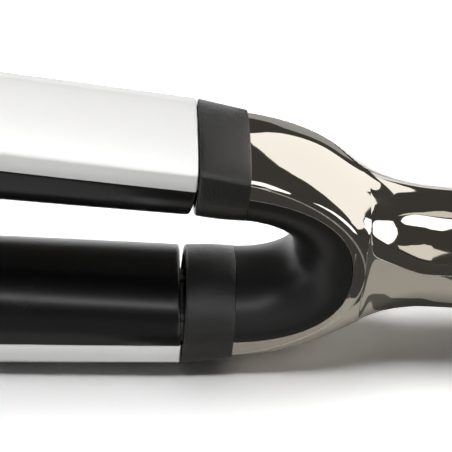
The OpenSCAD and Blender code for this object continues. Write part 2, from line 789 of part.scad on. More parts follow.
module frame_mount() {
    disc_r = wish_half_w(mount_x + mount_t) - wish_wall - fit;
    difference() {
        along_x(mount_x)
            cylinder(r = disc_r, h = mount_t, $fn = 64);
        for (half = [-1, 1])
            translate([0, 0, half * frame_screw_z])
                along_x(mount_x - 1)
                    cylinder(r = screw_hole_r, h = mount_t + 2, $fn = 24);
        along_x(mount_x - 1)
            cylinder(r = cable_hole_r, h = mount_t + 2, $fn = 32);
        block(
            [mount_x + mount_t - 1, -board_w / 2 - 0.1, -board_t / 2 - 0.1],
            [mount_x + mount_t + 1, board_w / 2 + 0.1, board_t / 2 + 0.1]
        );
    }
}
module frame_screws() {
    for (half = [-1, 1])
        translate([0, 0, half * frame_screw_z]) {
            along_x(hub_to - frame_t - screw_head_h)
                cylinder(r = screw_head_r, h = screw_head_h, $fn = 32);
            along_x(hub_to - frame_t - 0.1)
                cylinder(r = screw_r, h = frame_t + mount_t - 0.6, $fn = 24);
        }
}

module control_board() {
    block([board_from, -board_w / 2, -board_t / 2], [board_to, board_w / 2, board_t / 2]);
}
module mains_capacitor() {
    x = board_from + 3.9;
    block([x, -7, board_t / 2], [x + 4, 4, board_t / 2 + 5]);
}
module board_fuse() {
    translate([0, -3, -board_t / 2 - 1.65])
        along_x(board_from + 5.9)
            cylinder(r = 1.6, h = 11, $fn = 32);
}
module sounder() {
    translate([board_to - 8, 0, board_t / 2])
        cylinder(r = 4, h = 3, $fn = 40);
}
module terminal_block() {
    block([board_to - 9.8, -5, -board_t / 2 - 6], [board_to - 1.8, 5, -board_t / 2]);
}

// ---- the power button, on the far side of the barrel ----

module at_button() {
    translate([button_at, 0, 0])
        children();
}
module power_switch() {
    at_button() {
        block([-3, 4.4, board_t / 2], [3, 7.4, board_t / 2 + 3.4]);
        translate([0, 0, board_t / 2 + 1.7])
            along_y(7.4)
                cylinder(r = 1, h = stem_y - 7.4 - fit / 2, $fn = 24);
    }
}
module power_button() {
    at_button() {
        along_y(face_y - 1.5)
            cylinder(r = button_r, h = 1.7, $fn = 48);
        along_y(stem_y + button_travel)
            cylinder(r = 1.4, h = face_y - 1.4 - stem_y - button_travel, $fn = 32);
    }
}
module button_light_ring() {
    at_button()
        difference() {
            along_y(face_y - 1.9)
                cylinder(r = ring_r, h = 1.9, $fn = 48);
            along_y(face_y - 3)
                cylinder(r = button_r + 0.15, h = 5, $fn = 48);
        }
}

// ---- the tail ----

module barrel_end_cap() {
    spigot_r = barrel_end_r - wish_wall - 0.15;
    cavity_r = flange_r + fit;
    difference() {
        union() {
            along_x(barrel_len + seam)
                cylinder(r = barrel_end_r, h = end_cap_len - seam, $fn = 64);
            along_x(barrel_len - spigot_len)
                cylinder(r = spigot_r, h = spigot_len + 0.5, $fn = 64);
        }
        along_x(barrel_len - spigot_len - 1)
            cylinder(r = cavity_r, h = spigot_len + 1, $fn = 64);
        along_x(barrel_len - 1)
            cylinder(r = swivel_r + 0.06, h = end_cap_len + 3, $fn = 64);
    }
}
module swivel_retainer() {
    along_x(barrel_len - spigot_len)
        difference() {
            cylinder(r = flange_r + fit - 0.1, h = 1.4, $fn = 64);
            translate([0, 0, -1])
                cylinder(r = cord_hole_r + 1.2, h = 4, $fn = 48);
        }
}
module cord_swivel() {
    back = barrel_len - flange_t - 0.3;
    in_len = tail_x - back;
    along_x(back)
        difference() {
            union() {
                cylinder(r = flange_r, h = flange_t, $fn = 64);
                cylinder(r = swivel_r, h = end_x - back + 0.5, $fn = 64);
                translate([0, 0, end_x - back + fit])
                    cylinder(r1 = swivel_r + 0.8, r2 = swivel_end_r, h = swivel_len - fit, $fn = 64);
            }
            translate([0, 0, -1])
                cylinder(r = cord_hole_r, h = in_len + 2, $fn = 48);
        }
}

// ---- the nodes ----

color("silver") in_wishbone() wishbone_shell();
color("black") in_wishbone() wishbone_saddle();
color("dimgray") in_wishbone() collar();  // upper_collar
color("dimgray") in_wishbone() mirror([0, 0, 1]) collar();  // lower_collar
color("gray") in_wishbone() hinge_frame();
color("silver") in_wishbone() hinge_pin(1);  // upper_hinge_pin
color("silver") in_wishbone() hinge_pin(-1);  // lower_hinge_pin
color("silver") in_wishbone() return_spring(1);  // upper_return_spring
color("silver") in_wishbone() return_spring(-1);  // lower_return_spring
color("dimgray") in_wishbone() frame_mount();
color("silver") in_wishbone() frame_screws();
color("green") in_wishbone() control_board();
color("orange") in_wishbone() mains_capacitor();
color("white") in_wishbone() board_fuse();
color("black") in_wishbone() sounder();
color("black") in_wishbone() power_switch();
color("blue") in_wishbone() terminal_block();
color("white") in_wishbone() button_light_ring();
color("black") in_wishbone() power_button();
color("black") in_wishbone() barrel_end_cap();
color("dimgray") in_wishbone() swivel_retainer();
color("black") in_wishbone() cord_swivel();

color("white") in_upper_arm() arm_shell();  // upper_arm_shell
color("black") in_upper_arm() arm_liner();  // upper_arm_liner
color("black") in_upper_arm() tip_cap();  // upper_tip_cap
color("gray") in_upper_arm() spine();  // upper_spine
color("silver") in_upper_arm() arm_screws();  // upper_arm_screws
color("red") in_upper_arm() heater_leads();  // upper_heater_leads
color("tan") in_upper_arm() heat_tray();  // upper_heat_tray
color("silver") in_upper_arm() in_plate() plate_springs();  // upper_plate_springs
color("dimgray") in_upper_arm() in_plate() plate_carrier();  // upper_plate_carrier
color("gray") in_upper_arm() in_plate() crimp_plate(1);  // upper_crimp_plate
color("ivory") in_upper_arm() in_plate() heater_block();  // upper_heater
color("ivory") in_upper_arm() in_plate() heat_sensor();  // upper_heat_sensor
color("silver") in_upper_arm() in_plate() thermal_fuse();  // upper_thermal_fuse

color("white") in_lower_arm() arm_shell();  // lower_arm_shell
color("black") in_lower_arm() arm_liner();  // lower_arm_liner
color("black") in_lower_arm() tip_cap();  // lower_tip_cap
color("gray") in_lower_arm() spine();  // lower_spine
color("silver") in_lower_arm() arm_screws();  // lower_arm_screws
color("red") in_lower_arm() heater_leads();  // lower_heater_leads
color("tan") in_lower_arm() heat_tray();  // lower_heat_tray
color("silver") in_lower_arm() in_plate() plate_springs();  // lower_plate_springs
color("dimgray") in_lower_arm() in_plate() plate_carrier();  // lower_plate_carrier
color("gray") in_lower_arm() in_plate() crimp_plate(-1);  // lower_crimp_plate
color("ivory") in_lower_arm() in_plate() heater_block();  // lower_heater
color("ivory") in_lower_arm() in_plate() heat_sensor();  // lower_heat_sensor
color("silver") in_lower_arm() in_plate() thermal_fuse();  // lower_thermal_fuse
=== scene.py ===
import json
import math
import bpy
import numpy as np
from mathutils import Matrix, Vector


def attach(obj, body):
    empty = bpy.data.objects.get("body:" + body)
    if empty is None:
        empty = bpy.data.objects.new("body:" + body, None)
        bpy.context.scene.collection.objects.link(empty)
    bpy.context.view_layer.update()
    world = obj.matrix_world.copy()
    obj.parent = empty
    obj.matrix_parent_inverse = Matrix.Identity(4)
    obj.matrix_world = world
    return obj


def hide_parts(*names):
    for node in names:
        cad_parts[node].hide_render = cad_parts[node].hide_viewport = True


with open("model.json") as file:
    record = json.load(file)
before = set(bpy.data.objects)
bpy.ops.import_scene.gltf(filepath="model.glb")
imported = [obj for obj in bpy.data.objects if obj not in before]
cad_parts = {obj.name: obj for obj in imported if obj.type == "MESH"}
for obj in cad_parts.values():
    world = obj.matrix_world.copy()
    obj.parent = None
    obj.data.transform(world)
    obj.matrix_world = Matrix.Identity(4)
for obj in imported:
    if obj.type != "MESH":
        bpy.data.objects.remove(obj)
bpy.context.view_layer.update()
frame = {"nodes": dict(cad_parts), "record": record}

# ---------------------------------------------------------------------------
# Sizes of the iron, in millimetres, as in the part's source.
# Places along an arm or the wishbone are measured from the hinge pins.
# ---------------------------------------------------------------------------
# Arms
ARM_LEN = 195.0
ARM_W = 30.5
HINGE_W = 29.8  # an arm's width at its hinge end
TIP_NARROW = 2.1  # how much narrower the tip is than the middle
TIP_CAP = 6.0
SIDE_BAND = 3.4  # height of the flat strip along the shell's side
DOME = 4.2  # the shell's crown above that strip
DOME_HINGE = 2.6
DOME_DROP = 1.4  # how much lower the crown is at the tip
FLAT_SHARE = 0.4  # width of the flat strip to lie on, as a share of the arm's
SHELL_WALL = 1.8
LINER_DEPTH = 10.6  # at the hinge end
LINER_WALL = 1.6
# Hinge
HINGE = 17.4  # from the middle plane to each pin
OPEN = math.radians(3.2)  # an arm's angle from the middle plane when open
CROSS = math.radians(2.0)  # by how much it passes the middle plane's direction when closed
# Collars
COLLAR = 9.8
COLLAR_PROUD = 0.4
COLLAR_WALL = 1.5
COLLAR_GAP = 0.3  # between a collar and the end of its arm
# Wishbone
BEND = 23.8  # from the collars to the outside of the bend on the side facet
FACET_W = 2.4  # the side facet's width at the bottom of the bend
FACET_H = 3.3  # its height where it is tallest
FACET_HALF = 19.8  # its outer edge's half height
WISH_CROWN = 3.2
WISH_NARROW = 1.4  # how much narrower the wishbone is than the arms
FORK_DEPTH = 10.4
FORK_GAP = 12.6
WISH_WALL = 1.8
SADDLE_WALL = 1.6
SADDLE_GAP = 0.15
# Barrel, end cap and swivel
BARREL_R = 11.9
BARREL_END_R = 12.6
NECK = 51.0  # where the barrel is slimmest
BARREL = 80.0
END_CAP = 3.0
SWIVEL_R = 7.0
SWIVEL = 10.0
CORD_R = 3.4
SWIVEL_END_WALL = 1.8
# Power button
BUTTON_AT = 51.0
BUTTON_R = 3.5
LIGHT_RING = 1.1
# Crimp plates
PLATE_TIP_GAP = 9.0
PLATE_LEN = 90.0
PLATE_W = 25.0
PLATE_T = 2.6
WAVE_H = 1.8
WAVE_PITCH = 5.6
PLATE_GAP = 0.4  # between the meshing plates
PLATE_PROUD = 1.4
SLOT_GAP = 0.4
CARRIER_H = 3.6

MM = 0.001
TAIL = BARREL + END_CAP + SWIVEL
SHELL_TO = ARM_LEN - TIP_CAP
PLATE_TO = ARM_LEN - PLATE_TIP_GAP
PLATE_AT = PLATE_TO - PLATE_LEN
CROWN_LEVEL = math.sqrt(1 - FLAT_SHARE ** 2)  # the share of its rise where a crown is flat
LOW_X = -HINGE * math.sin(OPEN) - ARM_LEN
HIGH_X = TAIL * math.cos(OPEN) + (CORD_R + SWIVEL_END_WALL) * math.sin(OPEN)
MID_X = (LOW_X + HIGH_X) / 2
AXIS_Z = SIDE_BAND + DOME * CROWN_LEVEL + HINGE * math.cos(OPEN)


def turn_y(angle):
    return Matrix.Rotation(angle, 4, "Y")


def shift(x, y, z):
    return Matrix.Translation((x, y, z))


MIRROR_X = Matrix.Scale(-1, 4, (1, 0, 0))
MIRROR_Z = Matrix.Scale(-1, 4, (0, 0, 1))
WISHBONE = Matrix.Scale(MM, 4) @ shift(-MID_X, 0, AXIS_Z) @ turn_y(OPEN)
ARMS = {
    "upper": WISHBONE @ shift(0, 0, HINGE) @ turn_y(OPEN) @ MIRROR_X,
    "lower": WISHBONE @ shift(0, 0, -HINGE) @ turn_y(-OPEN) @ MIRROR_Z @ MIRROR_X,
}
IN_PLATE = turn_y(-CROSS) @ shift(0, 0, -HINGE)


# ---------------------------------------------------------------------------
# Curves
# ---------------------------------------------------------------------------
def clamp(t):
    return min(1.0, max(0.0, t))


def ease_out(t):
    return math.sin(math.pi / 2 * clamp(t))


def ease_in(t):
    return 1 - math.cos(math.pi / 2 * clamp(t))


def ease(t):
    return (1 - math.cos(math.pi * clamp(t))) / 2


def signed_power(v, e):
    return math.copysign(abs(v) ** e, v) if v else 0.0


def fair_curve(points, start_slope, end_slope):
    """A curve of even bend through points (x, value), with x rising: a draughtsman's spline."""
    n = len(points)
    xs = [p[0] for p in points]
    ys = [p[1] for p in points]
    table = np.zeros((n, n))
    pull = np.zeros(n)
    for i in range(1, n - 1):
        before, after = xs[i] - xs[i - 1], xs[i + 1] - xs[i]
        table[i, i - 1 : i + 2] = before, 2 * (before + after), after
        pull[i] = 6 * ((ys[i + 1] - ys[i]) / after - (ys[i] - ys[i - 1]) / before)
    first, last = xs[1] - xs[0], xs[-1] - xs[-2]
    table[0, :2] = 2 * first, first
    pull[0] = 6 * ((ys[1] - ys[0]) / first - start_slope)
    table[-1, -2:] = last, 2 * last
    pull[-1] = 6 * (end_slope - (ys[-1] - ys[-2]) / last)
    bend = np.linalg.solve(table, pull)

    def at(x):
        i = min(n - 2, max(0, sum(x >= k for k in xs) - 1))
        run = xs[i + 1] - xs[i]
        u, t = xs[i + 1] - x, x - xs[i]
        return (
            (bend[i] * u ** 3 + bend[i + 1] * t ** 3) / (6 * run)
            + (ys[i] / run - bend[i] * run / 6) * u
            + (ys[i + 1] / run - bend[i + 1] * run / 6) * t
        )

    return at


LEVEL_POWER = 8  # the higher, the sharper a crown turns into its flat strip
LEVEL = (CROWN_LEVEL ** -LEVEL_POWER - 1) ** (-1 / LEVEL_POWER)


def soft_cap(v):
    """A crown's rise, as a share, levelled off where the flat strip runs."""
    return v / (1 + (v / LEVEL) ** LEVEL_POWER) ** (1 / LEVEL_POWER)


def round_end(radius):
    """The steps of a rounded end: (distance from the end, inset)."""
    angles = [math.radians(a) for a in (0, 22.5, 45, 67.5, 90)]
    return [(radius * (1 - math.cos(a)), radius * (1 - math.sin(a))) for a in angles]


# ---------------------------------------------------------------------------
# Sections of an arm
# ---------------------------------------------------------------------------
WIDTH_RUN = 40  # how far from the hinge an arm reaches its full width
CROWN_RUN = 60  # how far from the hinge its crown reaches its full rise
TIP_RUN = 45  # the stretch before the tip where both fall off
LEAN_RUN = 30  # the stretch that leans with the arm's end
LINER_SLOPE = 0.04  # how steeply the liner deepens at the hinge
SQUARE_FROM = 40  # where the liner's round belly starts to square off
SQUARE_RUN = PLATE_AT - 45


def arm_half_w(s):
    return (
        HINGE_W / 2
        + (ARM_W - HINGE_W) / 2 * ease_out(s / WIDTH_RUN)
        - TIP_NARROW / 2 * ease_in((s - ARM_LEN + TIP_RUN) / TIP_RUN)
    )


def arm_dome(s):
    return (
        DOME_HINGE
        + (DOME - DOME_HINGE) * ease_out(s / CROWN_RUN)
        - DOME_DROP * ease_in((s - ARM_LEN + TIP_RUN) / TIP_RUN)
    )


def plate_line(s):
    """Depth of the plane where the closed arms meet."""
    return HINGE / math.cos(CROSS) - s * math.tan(CROSS)


def liner_depth(s):
    if s >= PLATE_AT:
        return plate_line(s) - PLATE_PROUD
    t = s / PLATE_AT
    u = 1 - t
    end = plate_line(PLATE_AT) - PLATE_PROUD
    return (
        (1 + 2 * t) * u * u * LINER_DEPTH
        + t * u * u * PLATE_AT * LINER_SLOPE
        + t * t * (3 - 2 * t) * end
        + t * t * u * PLATE_AT * math.tan(CROSS)
    )


def liner_power(s):
    """2 for a round belly, 4 for a squarer one."""
    return 2 + 2 * ease((s - SQUARE_FROM) / SQUARE_RUN)


def lean(s, z):
    """An arm's end leans back on both sides of its pin."""
    slope = math.tan(OPEN) * z if z > 0 else -math.tan(CROSS) * z
    return slope * (1 - clamp(s / LEAN_RUN))


CROWN_STEPS = 60
EDGE = 0.3  # radius of the edges along the seam
EDGE_SHARE = 0.3  # how far from its corner a rounded edge passes, as a share of its radius
BAND_SHARE = 0.6  # height of the points on the side strip, as a share of the strip


def over(half_w, band, rise, inset=0.0, power=2.0, inner=False):
    """Over the top: a lower edge, rounded on the outside, the flat side, the crown, and down again."""
    w, top = half_w - inset, rise - inset
    edge = 0.0 if inner else EDGE
    side = [
        (-w + edge, 0),
        (-w + EDGE_SHARE * edge, EDGE_SHARE * EDGE),
        (-w, EDGE),
        (-w, band * BAND_SHARE),
    ]
    crown = []
    for i in range(CROWN_STEPS + 1):
        a = math.pi * i / CROWN_STEPS
        z = band + top * soft_cap(abs(math.sin(a)) ** (2 / power))
        crown.append((-w * signed_power(math.cos(a), 2 / power), z))
    return side + crown + [(-y, z) for y, z in reversed(side)]


def under(half_w, depth, power, inset=0.0, inner=False):
    """Under the seam: an upper edge, rounded on the outside, and a full, rounded belly."""
    w, deep = half_w - inset, depth - inset
    edge = 0.0 if inner else EDGE
    side = [(w - edge, 0), (w - EDGE_SHARE * edge, -EDGE_SHARE * EDGE), (w, -EDGE)]
    belly = []
    for i in range(1, CROWN_STEPS):
        a = math.pi * i / CROWN_STEPS
        z = -deep * abs(math.sin(a)) ** (2 / power)
        belly.append((w * signed_power(math.cos(a), 2 / power), min(z, -EDGE)))
    return side + belly + [(-y, z) for y, z in reversed(side)]


STATION_POWER = 1.25  # over 1, the sections crowd towards the hinge


def stations(start, end, edge, count):
    """Places along an arm, with its rounded end: (place, inset)."""
    run = end - start - edge
    rest = [
        (start + edge + run * (i / count) ** STATION_POWER, 0.0) for i in range(1, count + 1)
    ]
    return [(start + x, inset) for x, inset in round_end(edge)] + rest


def arm_row(s, outline):
    return [(s + lean(s, z), y, z) for y, z in outline]


# ---------------------------------------------------------------------------
# Skins: a wall between an outer and an inner net of points
# ---------------------------------------------------------------------------
def deselect():
    for o in bpy.context.selected_objects:
        o.select_set(False)


def take(obj):
    deselect()
    obj.select_set(True)
    bpy.context.view_layer.objects.active = obj


def link_new(name, data):
    obj = bpy.data.objects.new(name, data)
    bpy.context.scene.collection.objects.link(obj)
    return obj


def add_piece(name, points, faces, place):
    mesh = bpy.data.meshes.new(name)
    mesh.from_pydata([place @ Vector(p) for p in points], [], faces)
    mesh.update()
    if place.determinant() < 0:
        mesh.flip_normals()
    return link_new(name, mesh)


def edit_whole(obj):
    """Enters edit mode on a piece with all of it selected."""
    take(obj)
    bpy.ops.object.mode_set(mode="EDIT")
    bpy.ops.mesh.select_all(action="SELECT")


def face_outwards(obj):
    edit_whole(obj)
    bpy.ops.mesh.normals_make_consistent(inside=False)
    bpy.ops.object.mode_set(mode="OBJECT")


def finish_piece(obj, body, slot, node, angle=32):
    """Smooths a piece up to an angle, gives it its finish, and puts it in its node's place."""
    take(obj)
    bpy.ops.object.shade_smooth_by_angle(angle=math.radians(angle))
    obj.data.materials.clear()
    obj.data.materials.append(FINISH[slot])
    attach(obj, body)
    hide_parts(node)


def net_faces(n, m, start, closed, flip):
    """The faces of a net of n rows with m points each, which begins at point number start."""
    out = []
    for i in range(n - 1):
        here, there = start + i * m, start + (i + 1) * m
        for j in range(m if closed else m - 1):
            k = (j + 1) % m
            q = [here + j, there + j, there + k, here + k]
            out.append(q[::-1] if flip else q)
    return out


def wall(name, outer, inner, place, closed=False):
    """A closed wall between two nets; open outlines get rims along their ends."""
    n, m = len(outer), len(outer[0])
    points = [p for row in outer for p in row] + [p for row in inner for p in row]
    q = n * m
    faces = net_faces(n, m, 0, closed, False) + net_faces(n, m, q, closed, True)
    last = (n - 1) * m
    for j in range(m if closed else m - 1):
        k = (j + 1) % m
        faces.append([j, k, q + k, q + j])
        faces.append([last + k, last + j, q + last + j, q + last + k])
    if not closed:
        for i in range(n - 1):
            a, b = i * m, (i + 1) * m
            faces.append([b, a, q + a, q + b])
            faces.append([a + m - 1, b + m - 1, q + b + m - 1, q + a + m - 1])
    return add_piece(name, points, faces, place)


def solid(name, rows, place):
    """A closed form between its first and last outline."""
    n, m = len(rows), len(rows[0])
    faces = net_faces(n, m, 0, True, False)
    faces.append(list(range(m)))
    faces.append([(n - 1) * m + j for j in range(m)][::-1])
    return add_piece(name, [p for row in rows for p in row], faces, place)


# ---------------------------------------------------------------------------
# Finishes
# ---------------------------------------------------------------------------
def group(name, inputs, outputs):
    tree = bpy.data.node_groups.new(name, "ShaderNodeTree")
    for label, kind, value in inputs:
        socket = tree.interface.new_socket(label, in_out="INPUT", socket_type=kind)
        socket.default_value = value
    for label, kind in outputs:
        tree.interface.new_socket(label, in_out="OUTPUT", socket_type=kind)
    return tree, tree.nodes.new("NodeGroupInput"), tree.nodes.new("NodeGroupOutput")


def fine_grain():
    """Moulded grain: a height for Bump and a tone that drifts slowly over the surface."""
    tree, given, out = group(
        "Fine Grain",
        [("Scale", "NodeSocketFloat", 2500.0), ("Drift", "NodeSocketFloat", 60.0)],
        [("Height", "NodeSocketFloat"), ("Tone", "NodeSocketFloat")],
    )
    where = tree.nodes.new("ShaderNodeTexCoord")
    grain = tree.nodes.new("ShaderNodeTexNoise")
    grain.inputs["Detail"].default_value = 3
    tree.links.new(where.outputs["Object"], grain.inputs["Vector"])
    tree.links.new(given.outputs["Scale"], grain.inputs["Scale"])
    drift = tree.nodes.new("ShaderNodeTexNoise")
    tree.links.new(where.outputs["Object"], drift.inputs["Vector"])
    tree.links.new(given.outputs["Drift"], drift.inputs["Scale"])
    tree.links.new(grain.outputs["Fac"], out.inputs["Height"])
    tree.links.new(drift.outputs["Fac"], out.inputs["Tone"])
    return tree


def handling():
    """Faint smears and specks from handling, as a value to add to a finish's roughness."""
    tree, given, out = group(
        "Handling Marks",
        [("Amount", "NodeSocketFloat", 0.02)],
        [("Marks", "NodeSocketFloat")],
    )
    where = tree.nodes.new("ShaderNodeTexCoord")
    smear = tree.nodes.new("ShaderNodeTexNoise")
    smear.inputs["Scale"].default_value = 90
    smear.inputs["Detail"].default_value = 6
    smear.inputs["Distortion"].default_value = 1.2
    tree.links.new(where.outputs["Object"], smear.inputs["Vector"])
    spread = tree.nodes.new("ShaderNodeMapRange")
    spread.inputs["From Min"].default_value = 0.45
    spread.inputs["From Max"].default_value = 0.8
    tree.links.new(smear.outputs["Fac"], spread.inputs["Value"])
    times = tree.nodes.new("ShaderNodeMath")
    times.operation = "MULTIPLY"
    tree.links.new(spread.outputs["Result"], times.inputs[0])
    tree.links.new(given.outputs["Amount"], times.inputs[1])
    tree.links.new(times.outputs["Value"], out.inputs["Marks"])
    return tree


FINE_GRAIN = fine_grain()
HANDLING = handling()


def place_group(tree, shared, **values):
    node = tree.nodes.new("ShaderNodeGroup")
    node.node_tree = shared
    for label, value in values.items():
        node.inputs[label].default_value = value
    return node


def new_shader(name):
    """A new material, its node tree and its shader."""
    material = bpy.data.materials.new(name)
    material.use_nodes = True
    tree = material.node_tree
    return material, tree, tree.nodes["Principled BSDF"]


def surface(
    name, colour, rough, grain=0.0, scale=2500.0, depth=0.00005, tone=0.06, marks=0.0,
    metallic=0.0, coat=0.0, spec=0.5, transmission=0.0
):
    """A moulded, sheet or plated finish, with its grain, drift of tone and handling marks."""
    material, tree, shader = new_shader(name)
    shader.inputs["Metallic"].default_value = metallic
    shader.inputs["Specular IOR Level"].default_value = spec
    shader.inputs["Coat Weight"].default_value = coat
    shader.inputs["Coat Roughness"].default_value = 0.03
    shader.inputs["Transmission Weight"].default_value = transmission
    noise = place_group(tree, FINE_GRAIN, Scale=scale)
    mix = tree.nodes.new("ShaderNodeMix")
    mix.data_type = "RGBA"
    mix.inputs["A"].default_value = (*[c * (1 - tone) for c in colour], 1)
    mix.inputs["B"].default_value = (*[min(1, c * (1 + tone)) for c in colour], 1)
    tree.links.new(noise.outputs["Tone"], mix.inputs["Factor"])
    tree.links.new(mix.outputs["Result"], shader.inputs["Base Color"])
    worn = place_group(tree, HANDLING, Amount=marks)
    add = tree.nodes.new("ShaderNodeMath")
    add.operation = "ADD"
    add.inputs[1].default_value = rough
    tree.links.new(worn.outputs["Marks"], add.inputs[0])
    tree.links.new(add.outputs["Value"], shader.inputs["Roughness"])
    if grain:
        bump = tree.nodes.new("ShaderNodeBump")
        bump.inputs["Strength"].default_value = grain
        bump.inputs["Distance"].default_value = depth
        tree.links.new(noise.outputs["Height"], bump.inputs["Height"])
        tree.links.new(bump.outputs["Normal"], shader.inputs["Normal"])
    return material


EDGE_HIGHLIGHT = "painted_highlight"  # the attribute that marks the edges that get a painted highlight line


def paint_edge_highlights(material, colour, rough):
    """Paints highlight lines on a plated finish: lighter and rougher along its marked edges."""
    tree = material.node_tree
    shader = tree.nodes["Principled BSDF"]
    mark = tree.nodes.new("ShaderNodeAttribute")
    mark.attribute_name = EDGE_HIGHLIGHT
    changes = (
        ("Base Color", "RGBA", "RGBA", (*colour, 1)),
        ("Roughness", "FLOAT", "VALUE", rough),
    )
    for socket, data_type, kind, value in changes:
        old = shader.inputs[socket].links[0].from_socket
        mix = tree.nodes.new("ShaderNodeMix")
        mix.data_type = data_type
        a, b = [i for i in mix.inputs if i.type == kind and i.name in ("A", "B")]
        tree.links.new(old, a)
        b.default_value = value
        tree.links.new(mark.outputs["Fac"], mix.inputs["Factor"])
        out = [o for o in mix.outputs if o.enabled][0]
        tree.links.new(out, shader.inputs[socket])
    return material


FINISH = {
    # The plating gets painted highlight lines along the ring's edges, in a lighter, rougher colour.
    "plated_shell": paint_edge_highlights(
        surface("plated shell", (0.63, 0.60, 0.555), 0.035, tone=0.01, marks=0.02, metallic=1.0),
        (0.93, 0.90, 0.84),
        0.55,
    ),
    "white_gloss": surface(
        "white gloss", (0.875, 0.87, 0.86), 0.24, tone=0.01, marks=0.04, coat=0.4
    ),
    "black_gloss": surface("black gloss", (0.0025, 0.0025, 0.0025), 0.25, tone=0.2, marks=0.04),
    "black_satin": surface(
        "black satin", (0.012, 0.012, 0.012), 0.33, grain=0.15, scale=4000, marks=0.05
    ),
    "black_texture": surface(
        "black texture", (0.011, 0.011, 0.011), 0.27, grain=1.0, scale=3000, depth=0.00014,
        tone=0.12, spec=0.8
    ),
    "button_black": surface("button black", (0.01, 0.01, 0.01), 0.12, coat=0.4, marks=0.05),
    "light_ring": surface("light ring", (0.75, 0.77, 0.8), 0.3, transmission=0.2),
    "gland_rubber": surface("gland rubber", (0.012, 0.012, 0.012), 0.6, grain=0.5, scale=3000),
    "grey_nylon": surface("grey nylon", (0.18, 0.18, 0.18), 0.5, grain=0.3),
    "steel_sheet": surface("steel sheet", (0.55, 0.56, 0.57), 0.35, grain=0.1, metallic=1.0),
    "steel_pin": surface("steel pin", (0.6, 0.6, 0.61), 0.25, metallic=1.0),
    "spring_wire": surface("spring wire", (0.45, 0.45, 0.46), 0.3, metallic=1.0),
    "board_green": surface("board green", (0.03, 0.2, 0.09), 0.4, tone=0.15),
    "capacitor_case": surface("capacitor case", (0.7, 0.33, 0.05), 0.3),
    "fuse_ceramic": surface("fuse ceramic", (0.8, 0.78, 0.73), 0.3),
    "terminal_plastic": surface("terminal plastic", (0.07, 0.19, 0.43), 0.4),
    "lead_sleeve": surface("lead sleeve", (0.55, 0.07, 0.05), 0.5),
    "heat_resin": surface("heat resin", (0.14, 0.115, 0.09), 0.55, grain=0.4),
    "silicone_spring": surface("silicone spring", (0.68, 0.68, 0.66), 0.6),
    "plate_coating": surface(
        "plate coating", (0.10, 0.10, 0.108), 0.3, grain=0.12, scale=6000, tone=0.15, marks=0.08,
        metallic=0.6
    ),
    "heater_ceramic": surface("heater ceramic", (0.8, 0.77, 0.7), 0.6),
}


# ---------------------------------------------------------------------------
# The arms
# ---------------------------------------------------------------------------
def arm_skin(side):
    """The outer shell, with its crown and its flat side strips."""
    rows = stations(COLLAR_GAP, SHELL_TO, edge=0.5, count=64)

    def row(s, inset, inner=False):
        return arm_row(s, over(arm_half_w(s), SIDE_BAND, arm_dome(s), inset, inner=inner))

    outer = [row(s, inset) for s, inset in rows]
    inside = [row(s, SHELL_WALL, inner=True) for s, _ in rows]
    obj = wall(f"{side}_arm_skin", outer, inside, ARMS[side])
    finish_piece(obj, f"{side}_arm", "white_gloss", f"{side}_arm_shell")


def arm_lining(side):
    """The inner liner, with the opening for the plate cut out of it."""
    rows = stations(COLLAR_GAP, SHELL_TO, edge=0.6, count=80)

    def row(s, inset, inner=False):
        return arm_row(s, under(arm_half_w(s), liner_depth(s), liner_power(s), inset, inner))

    outer = [row(s, inset) for s, inset in rows]
    inside = [row(s, LINER_WALL, inner=True) for s, _ in rows]
    obj = wall(f"{side}_arm_lining", outer, inside, ARMS[side])
    cut_opening(obj, ARMS[side])
    finish_piece(obj, f"{side}_arm", "black_gloss", f"{side}_arm_liner")


def cut_opening(obj, place):
    """Cuts the plate's opening with a block that is then removed."""
    below, above = 1.0, 1.1  # how far the block reaches past the plate and its carrier
    low = Vector((PLATE_AT - SLOT_GAP, -PLATE_W / 2 - SLOT_GAP, -below))
    high = Vector((PLATE_TO + SLOT_GAP, PLATE_W / 2 + SLOT_GAP, PLATE_T + CARRIER_H + above))
    deselect()
    bpy.ops.mesh.primitive_cube_add(size=1)
    cutter = bpy.context.object
    for v in cutter.data.vertices:
        corner = [high[k] if v.co[k] > 0 else low[k] for k in range(3)]
        v.co = place @ IN_PLATE @ Vector(corner)
    if place.determinant() < 0:
        cutter.data.flip_normals()
    take(obj)
    cut = obj.modifiers.new("plate opening", "BOOLEAN")
    cut.operation = "DIFFERENCE"
    cut.solver = "EXACT"
    cut.object = cutter
    bpy.ops.object.modifier_apply(modifier=cut.name)
    bpy.data.objects.remove(cutter)


def full_loop(s, share):
    """A whole arm section, shrunk towards its middle."""
    half_w, dome, deep = arm_half_w(s), arm_dome(s), liner_depth(s)
    top = over(half_w, SIDE_BAND, dome)[2:-2]
    low = under(half_w, deep, liner_power(s))[2:-2]
    mid = (SIDE_BAND + dome - deep) / 2
    return [(y * share, mid + (z - mid) * share) for y, z in top + low]


def tip(side):
    """The tip cap: a spigot inside the arm, a fine seam and a rounded nose."""
    spigot, spigot_share = 1.0, 0.85
    seam, seam_share = 0.05, 0.98
    nose_from = 0.1
    nose_share = 0.6  # the front face, as a share of the arm's section
    steps = 12

    def row(x, share):
        return [(x, y, z) for y, z in full_loop(SHELL_TO, share)]

    rows = [row(SHELL_TO - spigot, spigot_share), row(SHELL_TO + seam, seam_share)]
    for i in range(steps + 1):
        a = math.pi / 2 * i / steps
        x = SHELL_TO + nose_from + (TIP_CAP - nose_from) * math.sin(a)
        rows.append(row(x, nose_share + (1 - nose_share) * math.cos(a)))
    obj = solid(f"{side}_tip", rows, ARMS[side])
    finish_piece(obj, f"{side}_arm", "black_gloss", f"{side}_tip_cap")


